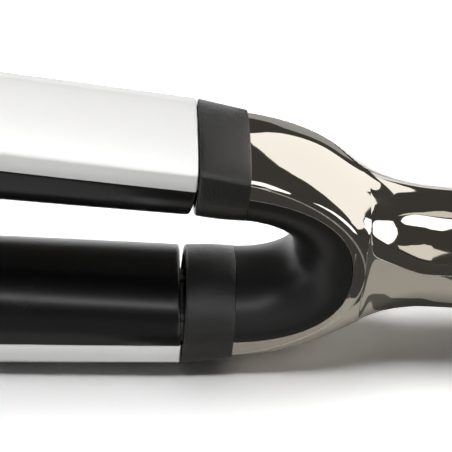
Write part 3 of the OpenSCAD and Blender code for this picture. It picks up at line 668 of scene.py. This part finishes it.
def crimp_plate(side):
    """A corrugated plate with rounded flanks, from a subdivided grid."""
    phase = 1 if side == "upper" else -1
    flank_w, flank_h = 1.2, 1.0
    place = ARMS[side] @ IN_PLATE
    top = PLATE_GAP / 2 + WAVE_H / 2 + PLATE_T
    deselect()
    bpy.ops.mesh.primitive_grid_add(x_subdivisions=320, y_subdivisions=16, size=1)
    obj = bpy.context.object
    obj.name = f"{side}_crimp_plating"
    for v in obj.data.vertices:
        x = (v.co.x + 0.5) * PLATE_LEN
        y = v.co.y * PLATE_W
        z = PLATE_GAP / 2 + phase * WAVE_H / 2 * math.sin(2 * math.pi * x / WAVE_PITCH)
        flank = max(0.0, abs(y) - PLATE_W / 2 + flank_w) / flank_w
        z += (1 - math.sqrt(max(0.0, 1 - flank * flank))) * flank_h
        v.co = (PLATE_AT + x, y, z)
    take(obj)
    bpy.ops.object.mode_set(mode="EDIT")
    bpy.ops.mesh.select_all(action="DESELECT")
    bpy.ops.mesh.select_non_manifold()
    bpy.ops.mesh.extrude_edges_move(TRANSFORM_OT_translate={"value": (0, 0, PLATE_T)})
    bpy.ops.object.mode_set(mode="OBJECT")
    rim = [v for v in obj.data.vertices if v.select]
    for v in rim:
        v.co.z = top
    bpy.ops.object.mode_set(mode="EDIT")
    bpy.ops.mesh.edge_face_add()
    bpy.ops.object.mode_set(mode="OBJECT")
    face_outwards(obj)
    for v in obj.data.vertices:
        v.co = place @ v.co
    if place.determinant() < 0:
        obj.data.flip_normals()
    finish_piece(obj, f"{side}_plate", "plate_coating", f"{side}_crimp_plate", angle=40)


for side in ("upper", "lower"):
    arm_skin(side)
    arm_lining(side)
    tip(side)
    crimp_plate(side)

# ---------------------------------------------------------------------------
# The wishbone
# ---------------------------------------------------------------------------
# The side facet's edges are two rounded curves about one centre: half length, half height, power.
FACET_X = COLLAR + BEND
FACET_CX = 2.5
FACET_OUT = (FACET_X - FACET_CX, FACET_HALF, 1.9)
FACET_IN = (FACET_OUT[0] - FACET_W, FACET_HALF - FACET_H, 2.35)

# How the crown's height falls from the collars (0) to the slimmest place of the neck (1).
NECK_FALL = fair_curve(
    [(0, 1), (0.24, 0.922), (0.42, 0.665), (0.56, 0.32), (0.68, 0.13), (0.8, 0.049), (1, 0)],
    start_slope=-0.12,
    end_slope=0.0,
)
NECK_TAPER = 2.6  # how fast the width falls off behind the facet

# The facet is a ring round the fork, which leans inwards and ends in a small step at its tip.
RING_FALL = 0.7  # how far it falls inwards from the collars to its tip
RING_TILT = 0.22  # how much its outer edge lies inside its inner edge
RING_STEP = 0.3
RING_STEP_RUN = 0.4
RING_EDGE = 0.16
RING_SHARES = (0.3, 0.55, 0.8)  # heights of its rows of points, as shares of its height
RING_POINTS = len(RING_SHARES) + 3  # with its two edges and the row inside each of them
EDGE_TURN = math.radians(4)  # how far the crown has turned where it leaves the facet
TURN_RUN = 9.0  # the stretch before the facet's tip where that turn fades

# The crown swells from a line that starts at the facet's outer edge and runs out into the neck.
FLOW_TO = FACET_X + 12.0
FLOW_POWERS = (2.6, 1.6)
FLOW_TOP = 0.86  # the highest that the line may be, as a share of the crown's height
FLOW_SPREAD = 7  # the higher, the sooner the crown leaves the facet's edge for the line
WISH_POWER = 1.73  # the crown's power at the collars; 2 is round, as the barrel is
WISH_STEPS = 72


def facet_edge(edge, x):
    """Height of one of the facet's edges."""
    t = (x - FACET_CX) / edge[0]
    return 0.0 if t >= 1 else edge[1] * (1 - t ** edge[2]) ** (1 / edge[2])


def facet_angle(edge):
    return math.acos((COLLAR - FACET_CX) / edge[0])


WISH_TOP = facet_edge(FACET_OUT, COLLAR) + WISH_CROWN


def way(x):
    """0 at the collars, 1 at the slimmest place of the neck."""
    return (x - COLLAR) / (NECK - COLLAR)


def flare(x):
    return (BARREL_END_R - BARREL_R) * ease((x - NECK) / (BARREL - NECK))


def wish_half_h(x):
    return BARREL_R + (WISH_TOP - BARREL_R) * NECK_FALL(clamp(way(x))) + flare(x)


def wish_half_w(x):
    """The facet's inner edge, and past the facet's tip the neck behind its small step."""
    level = (HINGE_W - WISH_NARROW) / 2 - RING_FALL * clamp((x - COLLAR) / BEND) ** 2
    if x <= FACET_X:
        return level
    past = clamp((x - FACET_X) / (NECK - FACET_X))
    step = RING_STEP * math.exp((FACET_X - x) / RING_STEP_RUN)
    neck = (level - RING_TILT - RING_STEP - BARREL_R) * (1 - past) ** NECK_TAPER
    return BARREL_R + neck + step + flare(x)


def flow_share(x):
    """The line's height before it is fitted to the facet's outer edge at the collars."""
    t = clamp((x - FACET_CX) / (FLOW_TO - FACET_CX))
    return (1 - t ** FLOW_POWERS[0]) ** FLOW_POWERS[1]


FLOW_FIT = 1 / flow_share(COLLAR)


def flow_line(x):
    """The height from which the crown swells."""
    return facet_edge(FACET_OUT, COLLAR) * flow_share(x) * FLOW_FIT


def across_ring(x, z):
    """0 on the facet's inner edge, 1 on its outer edge."""

    def reach(edge):
        power = edge[2]
        along, up = abs((x - FACET_CX) / edge[0]), abs(z / edge[1])
        return (along ** power + up ** power) ** (1 / power)

    inside, outside = max(0.0, reach(FACET_IN) - 1), max(0.0, 1 - reach(FACET_OUT))
    return inside / (inside + outside) if inside + outside else 0.0


def wish_row(x, inset, low, band):
    """From the facet's inner edge, over the crown, and down to the facet on the far side."""
    top = wish_half_h(x) - inset
    base = min(flow_line(x), FLOW_TOP * top)
    power = 2 / (WISH_POWER + (2 - WISH_POWER) * ease(way(x)))
    turn = EDGE_TURN * (1 - ease((x - FACET_X + TURN_RUN) / TURN_RUN))
    half_w = wish_half_w(x) - inset
    back = half_w - (RING_TILT if x <= FACET_X else 0.0)
    crown = []
    for i in range(WISH_STEPS + 1):
        a = turn + (math.pi - 2 * turn) * i / WISH_STEPS
        s = (abs(math.sin(a)) - math.sin(turn)) / (1 - math.sin(turn))
        s = max(0.0, s) ** power
        start = base + (band - base) * (1 - s) ** FLOW_SPREAD
        y = -back * signed_power(math.cos(a) / math.cos(turn), power)
        crown.append((x, y, start + (top - start) * s))
    tall = max(0.0, band - low)
    edge = min(RING_EDGE, tall / 4)

    def on_facet(up):
        z = low + up
        return half_w + (back - half_w) * across_ring(x, z), z

    heights = [0.0, edge] + [tall * share for share in RING_SHARES] + [tall - edge]
    ring = [on_facet(up) for up in heights]
    near = [(x, -y, z) for y, z in ring]
    far = [(x, y, z) for y, z in reversed(ring)]
    return near + crown + far


def wish_places():
    """Places along the wishbone, and the number of the one at the tip of the facet's inner edge."""
    inner_steps, tip_steps, neck_steps, barrel_steps = 44, 16, 38, 16
    crowding = 1.5  # over 1, the places crowd towards the facet's tip
    start = facet_angle(FACET_IN)
    inner = [
        FACET_CX + FACET_IN[0] * math.cos(start * (1 - i / inner_steps))
        for i in range(inner_steps + 1)
    ]
    tip_angle = math.acos((inner[-1] - FACET_CX) / FACET_OUT[0])
    outer = [
        FACET_CX + FACET_OUT[0] * math.cos(tip_angle * (1 - i / tip_steps))
        for i in range(1, tip_steps + 1)
    ]
    neck = [
        FACET_X + (NECK - FACET_X) * (i / neck_steps) ** crowding
        for i in range(1, neck_steps + 1)
    ]
    barrel = [NECK + (BARREL - NECK) * i / barrel_steps for i in range(1, barrel_steps + 1)]
    return inner + outer + neck + barrel, inner_steps


def wishbone():
    """One plated skin round both arms of the fork and the barrel, closed by its inner wall."""
    places, weld = wish_places()
    n = len(places)

    def net(inset):
        return [
            wish_row(x, inset, facet_edge(FACET_IN, x), facet_edge(FACET_OUT, x)) for x in places
        ]

    outer, inner = net(0.0), net(WISH_WALL)
    m = len(outer[0])
    points = []
    for up in (1, -1):
        for rows in (outer, inner):
            points += [(p[0], p[1], up * p[2]) for row in rows for p in row]

    def at(half, skin, i, j):
        """A point's number; past the facet's tip the two halves share their edges."""
        shared = half == 1 and i >= weld and j in (0, m - 1)
        return ((0 if shared else half) * 2 + skin) * n * m + i * m + j

    def quad(half, *corners):
        return [at(half, *corner) for corner in corners]

    faces = []
    for half in (0, 1):
        made = []
        for i in range(n - 1):
            for j in range(m - 1):
                made.append(quad(half, (0, i, j), (0, i + 1, j), (0, i + 1, j + 1), (0, i, j + 1)))
                made.append(quad(half, (1, i, j), (1, i, j + 1), (1, i + 1, j + 1), (1, i + 1, j)))
        last = m - 1
        for i in range(weld):
            made.append(quad(half, (0, i + 1, 0), (0, i, 0), (1, i, 0), (1, i + 1, 0)))
            made.append(
                quad(half, (0, i, last), (0, i + 1, last), (1, i + 1, last), (1, i, last))
            )
        end = n - 1
        for j in range(m - 1):
            made.append(quad(half, (0, 0, j), (0, 0, j + 1), (1, 0, j + 1), (1, 0, j)))
            made.append(quad(half, (0, end, j + 1), (0, end, j), (1, end, j), (1, end, j + 1)))
        faces += made if half == 0 else [f[::-1] for f in made]
    obj = add_piece("wishbone_plating", points, faces, WISHBONE)
    edit_whole(obj)
    bpy.ops.mesh.remove_doubles(threshold=1e-7)
    bpy.ops.mesh.delete_loose()
    bpy.ops.object.mode_set(mode="OBJECT")
    # The ring's edges are marked for their painted highlight lines.
    mark_ring_edges(obj, outer)
    finish_piece(obj, "wishbone", "plated_shell", "wishbone_shell", angle=9)


def mark_ring_edges(obj, rows):
    """Marks both edges of the facet ring, where the plating gets painted highlight lines."""

    def key(p):
        return round(p.x, 6), round(p.y, 6), round(p.z, 6)

    marked = set()
    m = len(rows[0])
    for row in rows:
        for j in (0, RING_POINTS, m - 1 - RING_POINTS, m - 1):
            x, y, z = row[j]
            if z > 0.01:
                marked.update(key(WISHBONE @ Vector((x, y, up * z))) for up in (1, -1))
    edge = obj.data.attributes.new(EDGE_HIGHLIGHT, "FLOAT", "POINT")
    for v in obj.data.vertices:
        edge.data[v.index].value = 1.0 if key(v.co) in marked else 0.0


def saddle():
    """The lining of the fork, from the near facet's edge through the fork to the far one."""
    turns, arcs = 96, 48
    half_l, half_h, power = FACET_IN

    def point(t, a, thick):
        angle = facet_angle(FACET_IN) * t
        ex = FACET_CX + (half_l - SADDLE_GAP) * math.cos(angle)
        ez = (half_h - SADDLE_GAP) * math.copysign(
            (1 - abs(math.cos(angle)) ** power) ** (1 / power), t
        )
        mx = COLLAR + (FORK_DEPTH + thick) * math.cos(math.pi / 2 * t)
        mz = (FORK_GAP / 2 + thick) * math.sin(math.pi / 2 * t)
        k = math.sin(a)
        half_w = wish_half_w(max(COLLAR, ex)) - thick
        return (max(COLLAR, ex + (mx - ex) * k), -half_w * math.cos(a), ez + (mz - ez) * k)

    def net(thick):
        return [
            [point(2 * i / turns - 1, math.pi * j / arcs, thick) for j in range(arcs + 1)]
            for i in range(turns + 1)
        ]

    obj = wall("saddle_lining", net(0), net(SADDLE_WALL), WISHBONE)
    face_outwards(obj)
    finish_piece(obj, "wishbone", "black_satin", "wishbone_saddle", angle=40)


def collar(side):
    """A textured collar that leads from the arm's section to the wishbone's."""
    stops = round_end(0.45)
    stops += [(x, 0.0) for x in (1.2, 2.4, 3.6, 4.8, 6.0, 7.2, 8.4)]
    stops += [(COLLAR - x, inset) for x, inset in ((0.25, 0.0), (0.12, 0.03), (0.04, 0.1), (0.0, 0.2))]
    tighter = 0.2  # how much more pointed the crown is at the wishbone than at the arm

    def loop(x, inset):
        t = x / COLLAR
        base = HINGE + (facet_edge(FACET_IN, COLLAR) - HINGE) * t
        depth = LINER_DEPTH + (base - FORK_GAP / 2 - LINER_DEPTH) * t
        half_w = HINGE_W / 2 + (COLLAR_PROUD - WISH_NARROW) / 2 * t
        facet = facet_edge(FACET_OUT, COLLAR) - facet_edge(FACET_IN, COLLAR)
        band = SIDE_BAND + (facet - SIDE_BAND) * t
        rise = DOME_HINGE + (WISH_CROWN + COLLAR_PROUD - DOME_HINGE) * t
        top = over(half_w, band, rise, inset, power=2.0 - tighter * t)[2:-2]
        low = under(half_w, depth, 2, inset)[2:-2]
        return [(x, y, base + z) for y, z in top + low]

    outer = [loop(x, inset) for x, inset in stops]
    inner = [loop(x, COLLAR_WALL) for x, _ in stops]
    place = WISHBONE if side == "upper" else WISHBONE @ MIRROR_Z
    obj = wall(f"{side}_collar_band", outer, inner, place, closed=True)
    face_outwards(obj)
    finish_piece(obj, "wishbone", "black_texture", f"{side}_collar", angle=40)


wishbone()
saddle()
collar("upper")
collar("lower")


# ---------------------------------------------------------------------------
# The tail and the button, turned like lathe work from a profile and bpy.ops.mesh.spin
# ---------------------------------------------------------------------------
def turned(name, profile, place, steps=96):
    """A turned piece: profile is a closed list of (along, radius)."""
    n = len(profile)
    mesh = bpy.data.meshes.new(name)
    mesh.from_pydata([(x, 0, r) for x, r in profile], [(i, (i + 1) % n) for i in range(n)], [])
    obj = link_new(name, mesh)
    edit_whole(obj)
    bpy.ops.mesh.spin(steps=steps, angle=2 * math.pi, center=(0, 0, 0), axis=(1, 0, 0))
    bpy.ops.mesh.select_all(action="SELECT")
    bpy.ops.mesh.remove_doubles(threshold=1e-4)
    bpy.ops.mesh.normals_make_consistent(inside=False)
    bpy.ops.object.mode_set(mode="OBJECT")
    for v in obj.data.vertices:
        v.co = place @ v.co
    return obj


def rounded(points, radius):
    """Rounds the corners of a profile, where its sides are long enough."""
    least = 2.2  # a side is at least this many times as long as a corner's radius
    out = []
    n = len(points)
    for i in range(n):
        a, b, c = (Vector(points[(i + k) % n]) for k in (-1, 0, 1))
        r = min(radius, (a - b).length / least, (c - b).length / least)
        p, q = b + (a - b).normalized() * r, b + (c - b).normalized() * r
        out += [tuple(p), tuple(b * 0.5 + (p + q) * 0.25), tuple(q)]
    return out


CAP_SEAM = 0.05  # gap and step between the end cap and the barrel
SPIGOT_LEN = 5.0
SPIGOT_PLAY = 0.15
SWIVEL_PLAY = 0.06
SWIVEL_BACK = BARREL - 2.3
FLANGE = 1.6  # how far the swivel's flange stands out
FLANGE_T = 2.0
FLANGE_PLAY = 0.3
BUTTON_SUNK = 0.2  # how far the light ring's face lies inside the barrel's surface


def end_cap():
    spigot = BARREL_END_R - WISH_WALL - SPIGOT_PLAY
    rim = BARREL_END_R - CAP_SEAM
    bore = SWIVEL_R + SWIVEL_PLAY
    cavity = SWIVEL_R + FLANGE + FLANGE_PLAY
    front, end = BARREL - SPIGOT_LEN, BARREL + END_CAP
    profile = [
        (front, cavity), (front, spigot), (BARREL + CAP_SEAM, spigot), (BARREL + CAP_SEAM, rim),
        (end, rim), (end, bore), (BARREL, bore), (BARREL, cavity),
    ]
    obj = turned("tail_cap", rounded(profile, 0.35), WISHBONE)
    finish_piece(obj, "wishbone", "black_satin", "barrel_end_cap", angle=35)


def gland():
    """The swivelling cord gland: a flange inside the end cap and a grooved cone outside it."""
    gap = 0.3  # between the end cap and the cone
    cone_from = BARREL + END_CAP + gap
    cone_len = SWIVEL - gap
    near_r = SWIVEL_R + 0.75
    far_r = CORD_R + 1.75
    grooves, first, pitch, width, slope, depth = 4, 0.16, 0.2, 0.07, 0.012, 0.5
    profile = [
        (SWIVEL_BACK, SWIVEL_R + FLANGE),
        (SWIVEL_BACK + FLANGE_T, SWIVEL_R + FLANGE),
        (SWIVEL_BACK + FLANGE_T, SWIVEL_R),
        (cone_from, SWIVEL_R),
        (cone_from, near_r),
    ]
    for k in range(grooves):
        t0 = first + pitch * k
        t1 = t0 + width
        for t, sink in ((t0, 0.0), (t0 + slope, depth), (t1 - slope, depth), (t1, 0.0)):
            profile.append((cone_from + cone_len * t, near_r + (far_r - near_r) * t - sink))
    profile += [(TAIL, far_r), (TAIL, CORD_R), (SWIVEL_BACK, CORD_R)]
    obj = turned("cord_gland", rounded(profile, 0.18), WISHBONE)
    finish_piece(obj, "cord_swivel", "gland_rubber", "cord_swivel", angle=35)


TO_BUTTON = WISHBONE @ shift(BUTTON_AT, 0, 0) @ Matrix.Rotation(math.pi / 2, 4, "Z")
BUTTON_STEPS = 64


def button():
    """The cap of the power button, dished for a finger."""
    face = BARREL_R - BUTTON_SUNK
    edge_r = BUTTON_R - 0.02
    back, proud = face - 1.5, face + 0.2
    middle_r = 0.01
    dish = [(face - 0.05, 2.0), (face - 0.12, middle_r)]
    profile = [(back, middle_r), (back, edge_r), (proud, edge_r), (proud, 2.6)] + dish
    obj = turned("button_cap", rounded(profile, 0.22)[1:-1], TO_BUTTON, BUTTON_STEPS)
    finish_piece(obj, "power_button", "button_black", "power_button", angle=35)


def light_ring():
    face = BARREL_R - BUTTON_SUNK
    back = face - 1.9
    inner_r = BUTTON_R + 0.15
    outer_r = inner_r + LIGHT_RING
    profile = [(back, inner_r), (back, outer_r), (face, outer_r), (face, inner_r)]
    obj = turned("button_halo", rounded(profile, 0.3), TO_BUTTON, BUTTON_STEPS)
    finish_piece(obj, "wishbone", "light_ring", "button_light_ring", angle=35)


end_cap()
gland()
button()
light_ring()

# Every solid of the frame that still shows gets its own finish.
SLOT_OF = {row["node"]: row["material_slot"] for row in frame["record"]["subparts"]}
for node, obj in frame["nodes"].items():
    obj.data.materials.clear()
    obj.data.materials.append(FINISH[SLOT_OF[node]])

# ---------------------------------------------------------------------------
# Floor and world, each with one tone that is seen and another that lights the iron
# ---------------------------------------------------------------------------
FLOOR_SHOWN = (1.9, 1.9, 1.9)
FLOOR_LIGHT = (0.2, 0.2, 0.2)
FLOOR_SIZE = 8
FLOOR_Z = -0.00005
WORLD_SHOWN = (1, 1, 1)
WORLD_LIGHT = (0.025, 0.025, 0.025)


def shown_rays(tree):
    """1 for camera, glossy and transmission rays, and 0 for the rays that light the object."""
    path = tree.nodes.new("ShaderNodeLightPath")
    value = path.outputs["Is Camera Ray"]
    for other in ("Is Glossy Ray", "Is Transmission Ray"):
        both = tree.nodes.new("ShaderNodeMath")
        both.operation = "MAXIMUM"
        tree.links.new(value, both.inputs[0])
        tree.links.new(path.outputs[other], both.inputs[1])
        value = both.outputs["Value"]
    return value


def by_ray(tree, light, shown):
    mix = tree.nodes.new("ShaderNodeMix")
    mix.data_type = "RGBA"
    mix.inputs["A"].default_value = (*light, 1)
    mix.inputs["B"].default_value = (*shown, 1)
    tree.links.new(shown_rays(tree), mix.inputs["Factor"])
    return mix.outputs["Result"]


def matt(name):
    material, tree, shader = new_shader(name)
    shader.inputs["Roughness"].default_value = 0.9
    shader.inputs["Specular IOR Level"].default_value = 0.0
    return material, tree, shader


def floor_material():
    material, tree, shader = matt("floor white")
    tree.links.new(by_ray(tree, FLOOR_LIGHT, FLOOR_SHOWN), shader.inputs["Base Color"])
    return material


deselect()
bpy.ops.mesh.primitive_plane_add(size=FLOOR_SIZE, location=(0, 0, FLOOR_Z))
floor = bpy.context.object
floor.name = "floor"
floor.data.materials.append(floor_material())

world = bpy.data.worlds.new("studio")
bpy.context.scene.world = world
world.use_nodes = True
background = world.node_tree.nodes["Background"]
world.node_tree.links.new(
    by_ray(world.node_tree, WORLD_LIGHT, WORLD_SHOWN), background.inputs["Color"]
)


# ---------------------------------------------------------------------------
# Lamps
# ---------------------------------------------------------------------------
def softbox(name, at, aim, size, power):
    data = bpy.data.lights.new(name, "AREA")
    data.shape = "RECTANGLE"
    data.size, data.size_y = size
    data.energy = power
    lamp = link_new(name, data)
    lamp.location = at
    lamp.rotation_euler = (Vector(aim) - Vector(at)).to_track_quat("-Z", "Y").to_euler()
    lamp.visible_glossy = False
    return lamp


softbox("top light", at=(0.05, 0.08, 0.9), aim=(0.05, 0, 0), size=(0.42, 0.62), power=5.8)
front_light = softbox(
    "front light", at=(0.02, -0.77, 0.64), aim=(0.03, 0, 0.02), size=(0.5, 0.4), power=6.4
)
# The front light is kept off the floor, so that the object's shadow lies straight below it.
off_floor = bpy.data.collections.new("not in the front light")
off_floor.objects.link(floor)
off_floor.collection_objects[0].light_linking.link_state = "EXCLUDE"
front_light.light_linking.receiver_collection = off_floor


# ---------------------------------------------------------------------------
# Studio cards, which only the object's gloss sees
# ---------------------------------------------------------------------------
def shown_in_gloss(obj):
    obj.visible_camera = False
    obj.visible_diffuse = False
    obj.visible_shadow = False
    obj.visible_transmission = False


def glow(name, colour):
    material, _, shader = new_shader(name)
    shader.inputs["Base Color"].default_value = (0, 0, 0, 1)
    shader.inputs["Specular IOR Level"].default_value = 0
    strength = max(colour)
    shader.inputs["Emission Color"].default_value = (*[c / strength for c in colour], 1)
    shader.inputs["Emission Strength"].default_value = strength
    return material


# Glowing cards lie on spheres round a middle, in metres. Their outlines are (direction, height) in
# degrees, with direction 0 in front, 90 past the tail and 180 behind. The near cards stand close
# round the neck, for the polished body's reflections.
MIDDLE = (0.09, 0, 0.03)
NEAR_MIDDLE = (0.03, -0.02, 0.05)
TENT_R = 3.4
FILL_R = 3.2
CARD_R = 3.0
OVER_CARD_R = 2.95
NEAR_DARK_R = 0.0705
NEAR_R = 0.0695
CARD_STEP = 4  # degrees between the points along a card's edge
CARD_RINGS = 6


def card(name, outline, distance, colour, middle=MIDDLE):
    edge = []
    for i, (az, el) in enumerate(outline):
        next_az, next_el = outline[(i + 1) % len(outline)]
        n = max(1, int(max(abs(next_az - az), abs(next_el - el)) / CARD_STEP))
        edge += [(az + (next_az - az) * k / n, el + (next_el - el) * k / n) for k in range(n)]
    n = len(edge)
    mid_az, mid_el = sum(az for az, _ in edge) / n, sum(el for _, el in edge) / n
    points = []
    for ring in range(1, CARD_RINGS + 1):
        t = ring / CARD_RINGS
        for az, el in edge:
            a = math.radians(mid_az + (az - mid_az) * t)
            e = math.radians(mid_el + (el - mid_el) * t)
            towards = Vector((math.sin(a) * math.cos(e), -math.cos(a) * math.cos(e), math.sin(e)))
            points.append(Vector(middle) + towards * distance)
    faces = [list(range(n))]
    for here in range(0, (CARD_RINGS - 1) * n, n):
        faces += [[here + j, here + (j + 1) % n, here + n + (j + 1) % n, here + n + j] for j in range(n)]
    mesh = bpy.data.meshes.new(name)
    mesh.from_pydata(points, [], faces)
    mesh.materials.append(glow(name, colour))
    shown_in_gloss(link_new(name, mesh))


def block(az0, az1, el0, el1):
    return [(az0, el0), (az1, el0), (az1, el1), (az0, el1)]


# Tones of the cards
DARK = (0.060, 0.056, 0.050)
CREAM = (1.45, 1.41, 1.33)
WHITE = (2.1, 2.1, 2.08)
BEIGE = (1.0, 0.955, 0.86)
card("tent_front", block(-75, 90, -24, 89), TENT_R, DARK)
card("tent_back", block(90, 240, 9, 89), TENT_R, DARK)
card("front_fill", block(-60, 7, -18, 36), FILL_R, (0.24, 0.24, 0.24))
card("liner_strip", block(-60, 26, 63, 70), CARD_R, (4.4, 4.4, 4.36))
card(
    "overhead_box",
    [
        (28, 57), (34, 68), (50, 75), (70, 76), (80, 71), (92, 62),
        (90, 56), (86, 52.5), (80, 49), (70, 48.3), (60, 51), (45, 55),
    ],
    CARD_R,
    WHITE,
)
card(
    "overhead_beige",
    [
        (84, 79), (100, 79), (125, 75), (128, 70), (112, 70),
        (102, 66), (98, 56), (94, 50), (93, 62), (84, 71),
    ],
    OVER_CARD_R,
    (0.90, 0.86, 0.77),
)
card(
    "back_cream",
    [
        (112, 0), (112, 26), (115.4, 28.3), (119, 31), (120.8, 33.3), (124, 35.8), (130, 37.5),
        (136, 38.8), (141, 39.2), (145, 38.3), (150, 36.5), (155, 35.4), (158.3, 33.3), (160.4, 30),
        (162.5, 24.2), (163.3, 19.2), (161.7, 13.3), (157.5, 9.2), (154.6, 5.4), (150, 3),
        (140, 0), (125, -4),
    ],
    CARD_R,
    CREAM,
)
card(
    "side_window",
    [
        (36, -4), (42, 6), (47, 14), (54, 24), (60, 32), (68, 38), (75, 40.4), (80, 42), (85, 43),
        (88, 40), (90, 36), (91.7, 30), (92.5, 26), (93, 15), (60, -5),
    ],
    CARD_R,
    WHITE,
)
card(
    "front_strip",
    [(12, 3), (12, 20), (17, 29), (28, 28), (38, 20), (41, 10), (36, 4), (24, 2)],
    CARD_R,
    BEIGE,
)
card(
    "near_dark",
    [
        (38, -20), (48, -4), (52, 12), (57, 24), (66, 36), (78, 44), (92, 47), (104, 46.5),
        (116, 43), (127, 37), (136, 31), (144, 22), (149, 12), (151, 0), (151, -10.4),
        (140, -10.6), (128, -10.6), (119, -10.6), (114.5, -8.2), (108, -5.4), (100, -4.9),
        (94, -5.9), (88, -9), (84, -12), (84, -20),
    ],
    NEAR_DARK_R,
    DARK,
    NEAR_MIDDLE,
)
card(
    "near_cream",
    [
        (80, -14.5), (80.8, -10.3), (84.2, -6.2), (88.3, -1.2), (91.7, 3.8), (95, 8), (98.3, 13),
        (101.7, 16.3), (105, 19.3), (109.2, 22.6), (113.3, 24.7), (118.3, 26.2), (123.3, 27.2),
        (128.3, 26.8), (133.3, 25.7), (137.5, 23.8), (141.7, 21.3), (144.2, 18.8), (145.8, 14.7),
        (146.3, 12.2), (143.3, 8), (140, 5.5), (135.8, 3.4), (131.7, 1.3), (127.5, -1.2),
        (123.3, -3.7), (120.4, -6.2), (117.5, -9), (114, -8.4), (110, -5.8), (100, -5.3),
        (95, -6), (90, -8), (85, -10.6), (81.7, -13.7),
    ],
    NEAR_R,
    CREAM,
    NEAR_MIDDLE,
)
card(
    "near_rim",
    [
        (121, -9.6), (123.3, -7.4), (127.5, -5), (131.7, -2.8), (135.8, -1), (140, 0), (144, -1.2),
        (149, -1), (150, -9.6), (140, -9.8), (130, -9.8),
    ],
    NEAR_R,
    (0.40, 0.395, 0.38),
    NEAR_MIDDLE,
)
card(
    "near_wedge",
    [
        (60.8, 8), (58, 14.7), (58.8, 19.7), (61.7, 23.8), (65, 28.5), (69, 35), (75, 41.3),
        (85.4, 43.8), (97, 45), (93, 41.5), (87.5, 38.8), (84, 36.3), (79, 31.3), (74, 26),
        (69.6, 20.5), (67.5, 14.7), (65.4, 11.3), (62.5, 8.8),
    ],
    NEAR_R,
    WHITE,
    NEAR_MIDDLE,
)
card(
    "near_slit",
    [
        (69, -0.3), (72.5, -5.3), (73.3, -10.3), (73.3, -15.3), (75, -21),
        (76.7, -21), (76.7, -15.3), (77, -9.5), (76.7, -4.5), (73.3, -0.3),
    ],
    NEAR_R,
    WHITE,
    NEAR_MIDDLE,
)

# Matt cards lie just above the floor. Their outlines and heights are in millimetres.
LOW_CARD = 0.4
HIGH_CARD = 0.8


def floor_card(name, outline, height, tone):
    points = [(x * MM, y * MM, height * MM) for x, y in outline]
    mesh = bpy.data.meshes.new(name)
    mesh.from_pydata(points, [], [list(range(len(outline)))])
    material, _, shader = matt(name)
    shader.inputs["Base Color"].default_value = (*tone, 1)
    mesh.materials.append(material)
    shown_in_gloss(link_new(name, mesh))


def sheet(x0, x1, y0, y1):
    return [(x0, y1), (x0, y0), (x1, y0), (x1, y1)]


FLOOR_DARK = (0.06, 0.057, 0.052)
floor_card("grey_card", sheet(45, 107, -72, 20), LOW_CARD, (0.44, 0.42, 0.385))
floor_card("dark_card", sheet(40, 900, -1400, -72), LOW_CARD, FLOOR_DARK)
floor_card(
    "near_dark_card",
    [
        (40, -33), (40, -200), (140, -200), (140, -58.5), (106, -58.5), (104.8, -56),
        (102.3, -50), (100, -45), (98.3, -41), (95.5, -36.5), (93.5, -33),
    ],
    HIGH_CARD,
    FLOOR_DARK,
)
floor_card("side_card", sheet(107, 400, -58.5, 20), LOW_CARD, (0.1, 0.095, 0.088))
floor_card(
    "seam_card",
    [
        (92.8, 20), (92.8, -8), (94, -20), (95.2, -30), (96, -34), (97, -30),
        (97.2, -20), (98.5, -12), (101, -8), (107, -6), (107, 20),
    ],
    HIGH_CARD,
    (0.12, 0.115, 0.105),
)
floor_card("arm_card", sheet(-400, 40, -900, -16), LOW_CARD, (0.55, 0.55, 0.54))

# ---------------------------------------------------------------------------
# Camera
# ---------------------------------------------------------------------------
SENSOR = 36
FRAME_PX = 452
FOCAL_PX = 2500
CAMERA_AT = (0.037877, -0.414297, 0.282439)
CAMERA_RIGHT = (0.99894, -0.026706, 0.03748)
CAMERA_AHEAD = (0.042449, 0.849266, -0.526256)

camera_data = bpy.data.cameras.new("camera")
camera_data.sensor_width = SENSOR
camera_data.lens = FOCAL_PX / FRAME_PX * SENSOR
camera_data.clip_start = 0.05
camera_data.clip_end = 20
camera = link_new("camera", camera_data)
ahead = Vector(CAMERA_AHEAD).normalized()
above = Vector(CAMERA_RIGHT).normalized().cross(ahead).normalized()
right = ahead.cross(above).normalized()
facing = Matrix((right, above, -ahead)).transposed()
camera.matrix_world = Matrix.Translation(CAMERA_AT) @ facing.to_4x4()
bpy.context.scene.camera = camera
bpy.context.scene.view_settings.view_transform = "Standard"
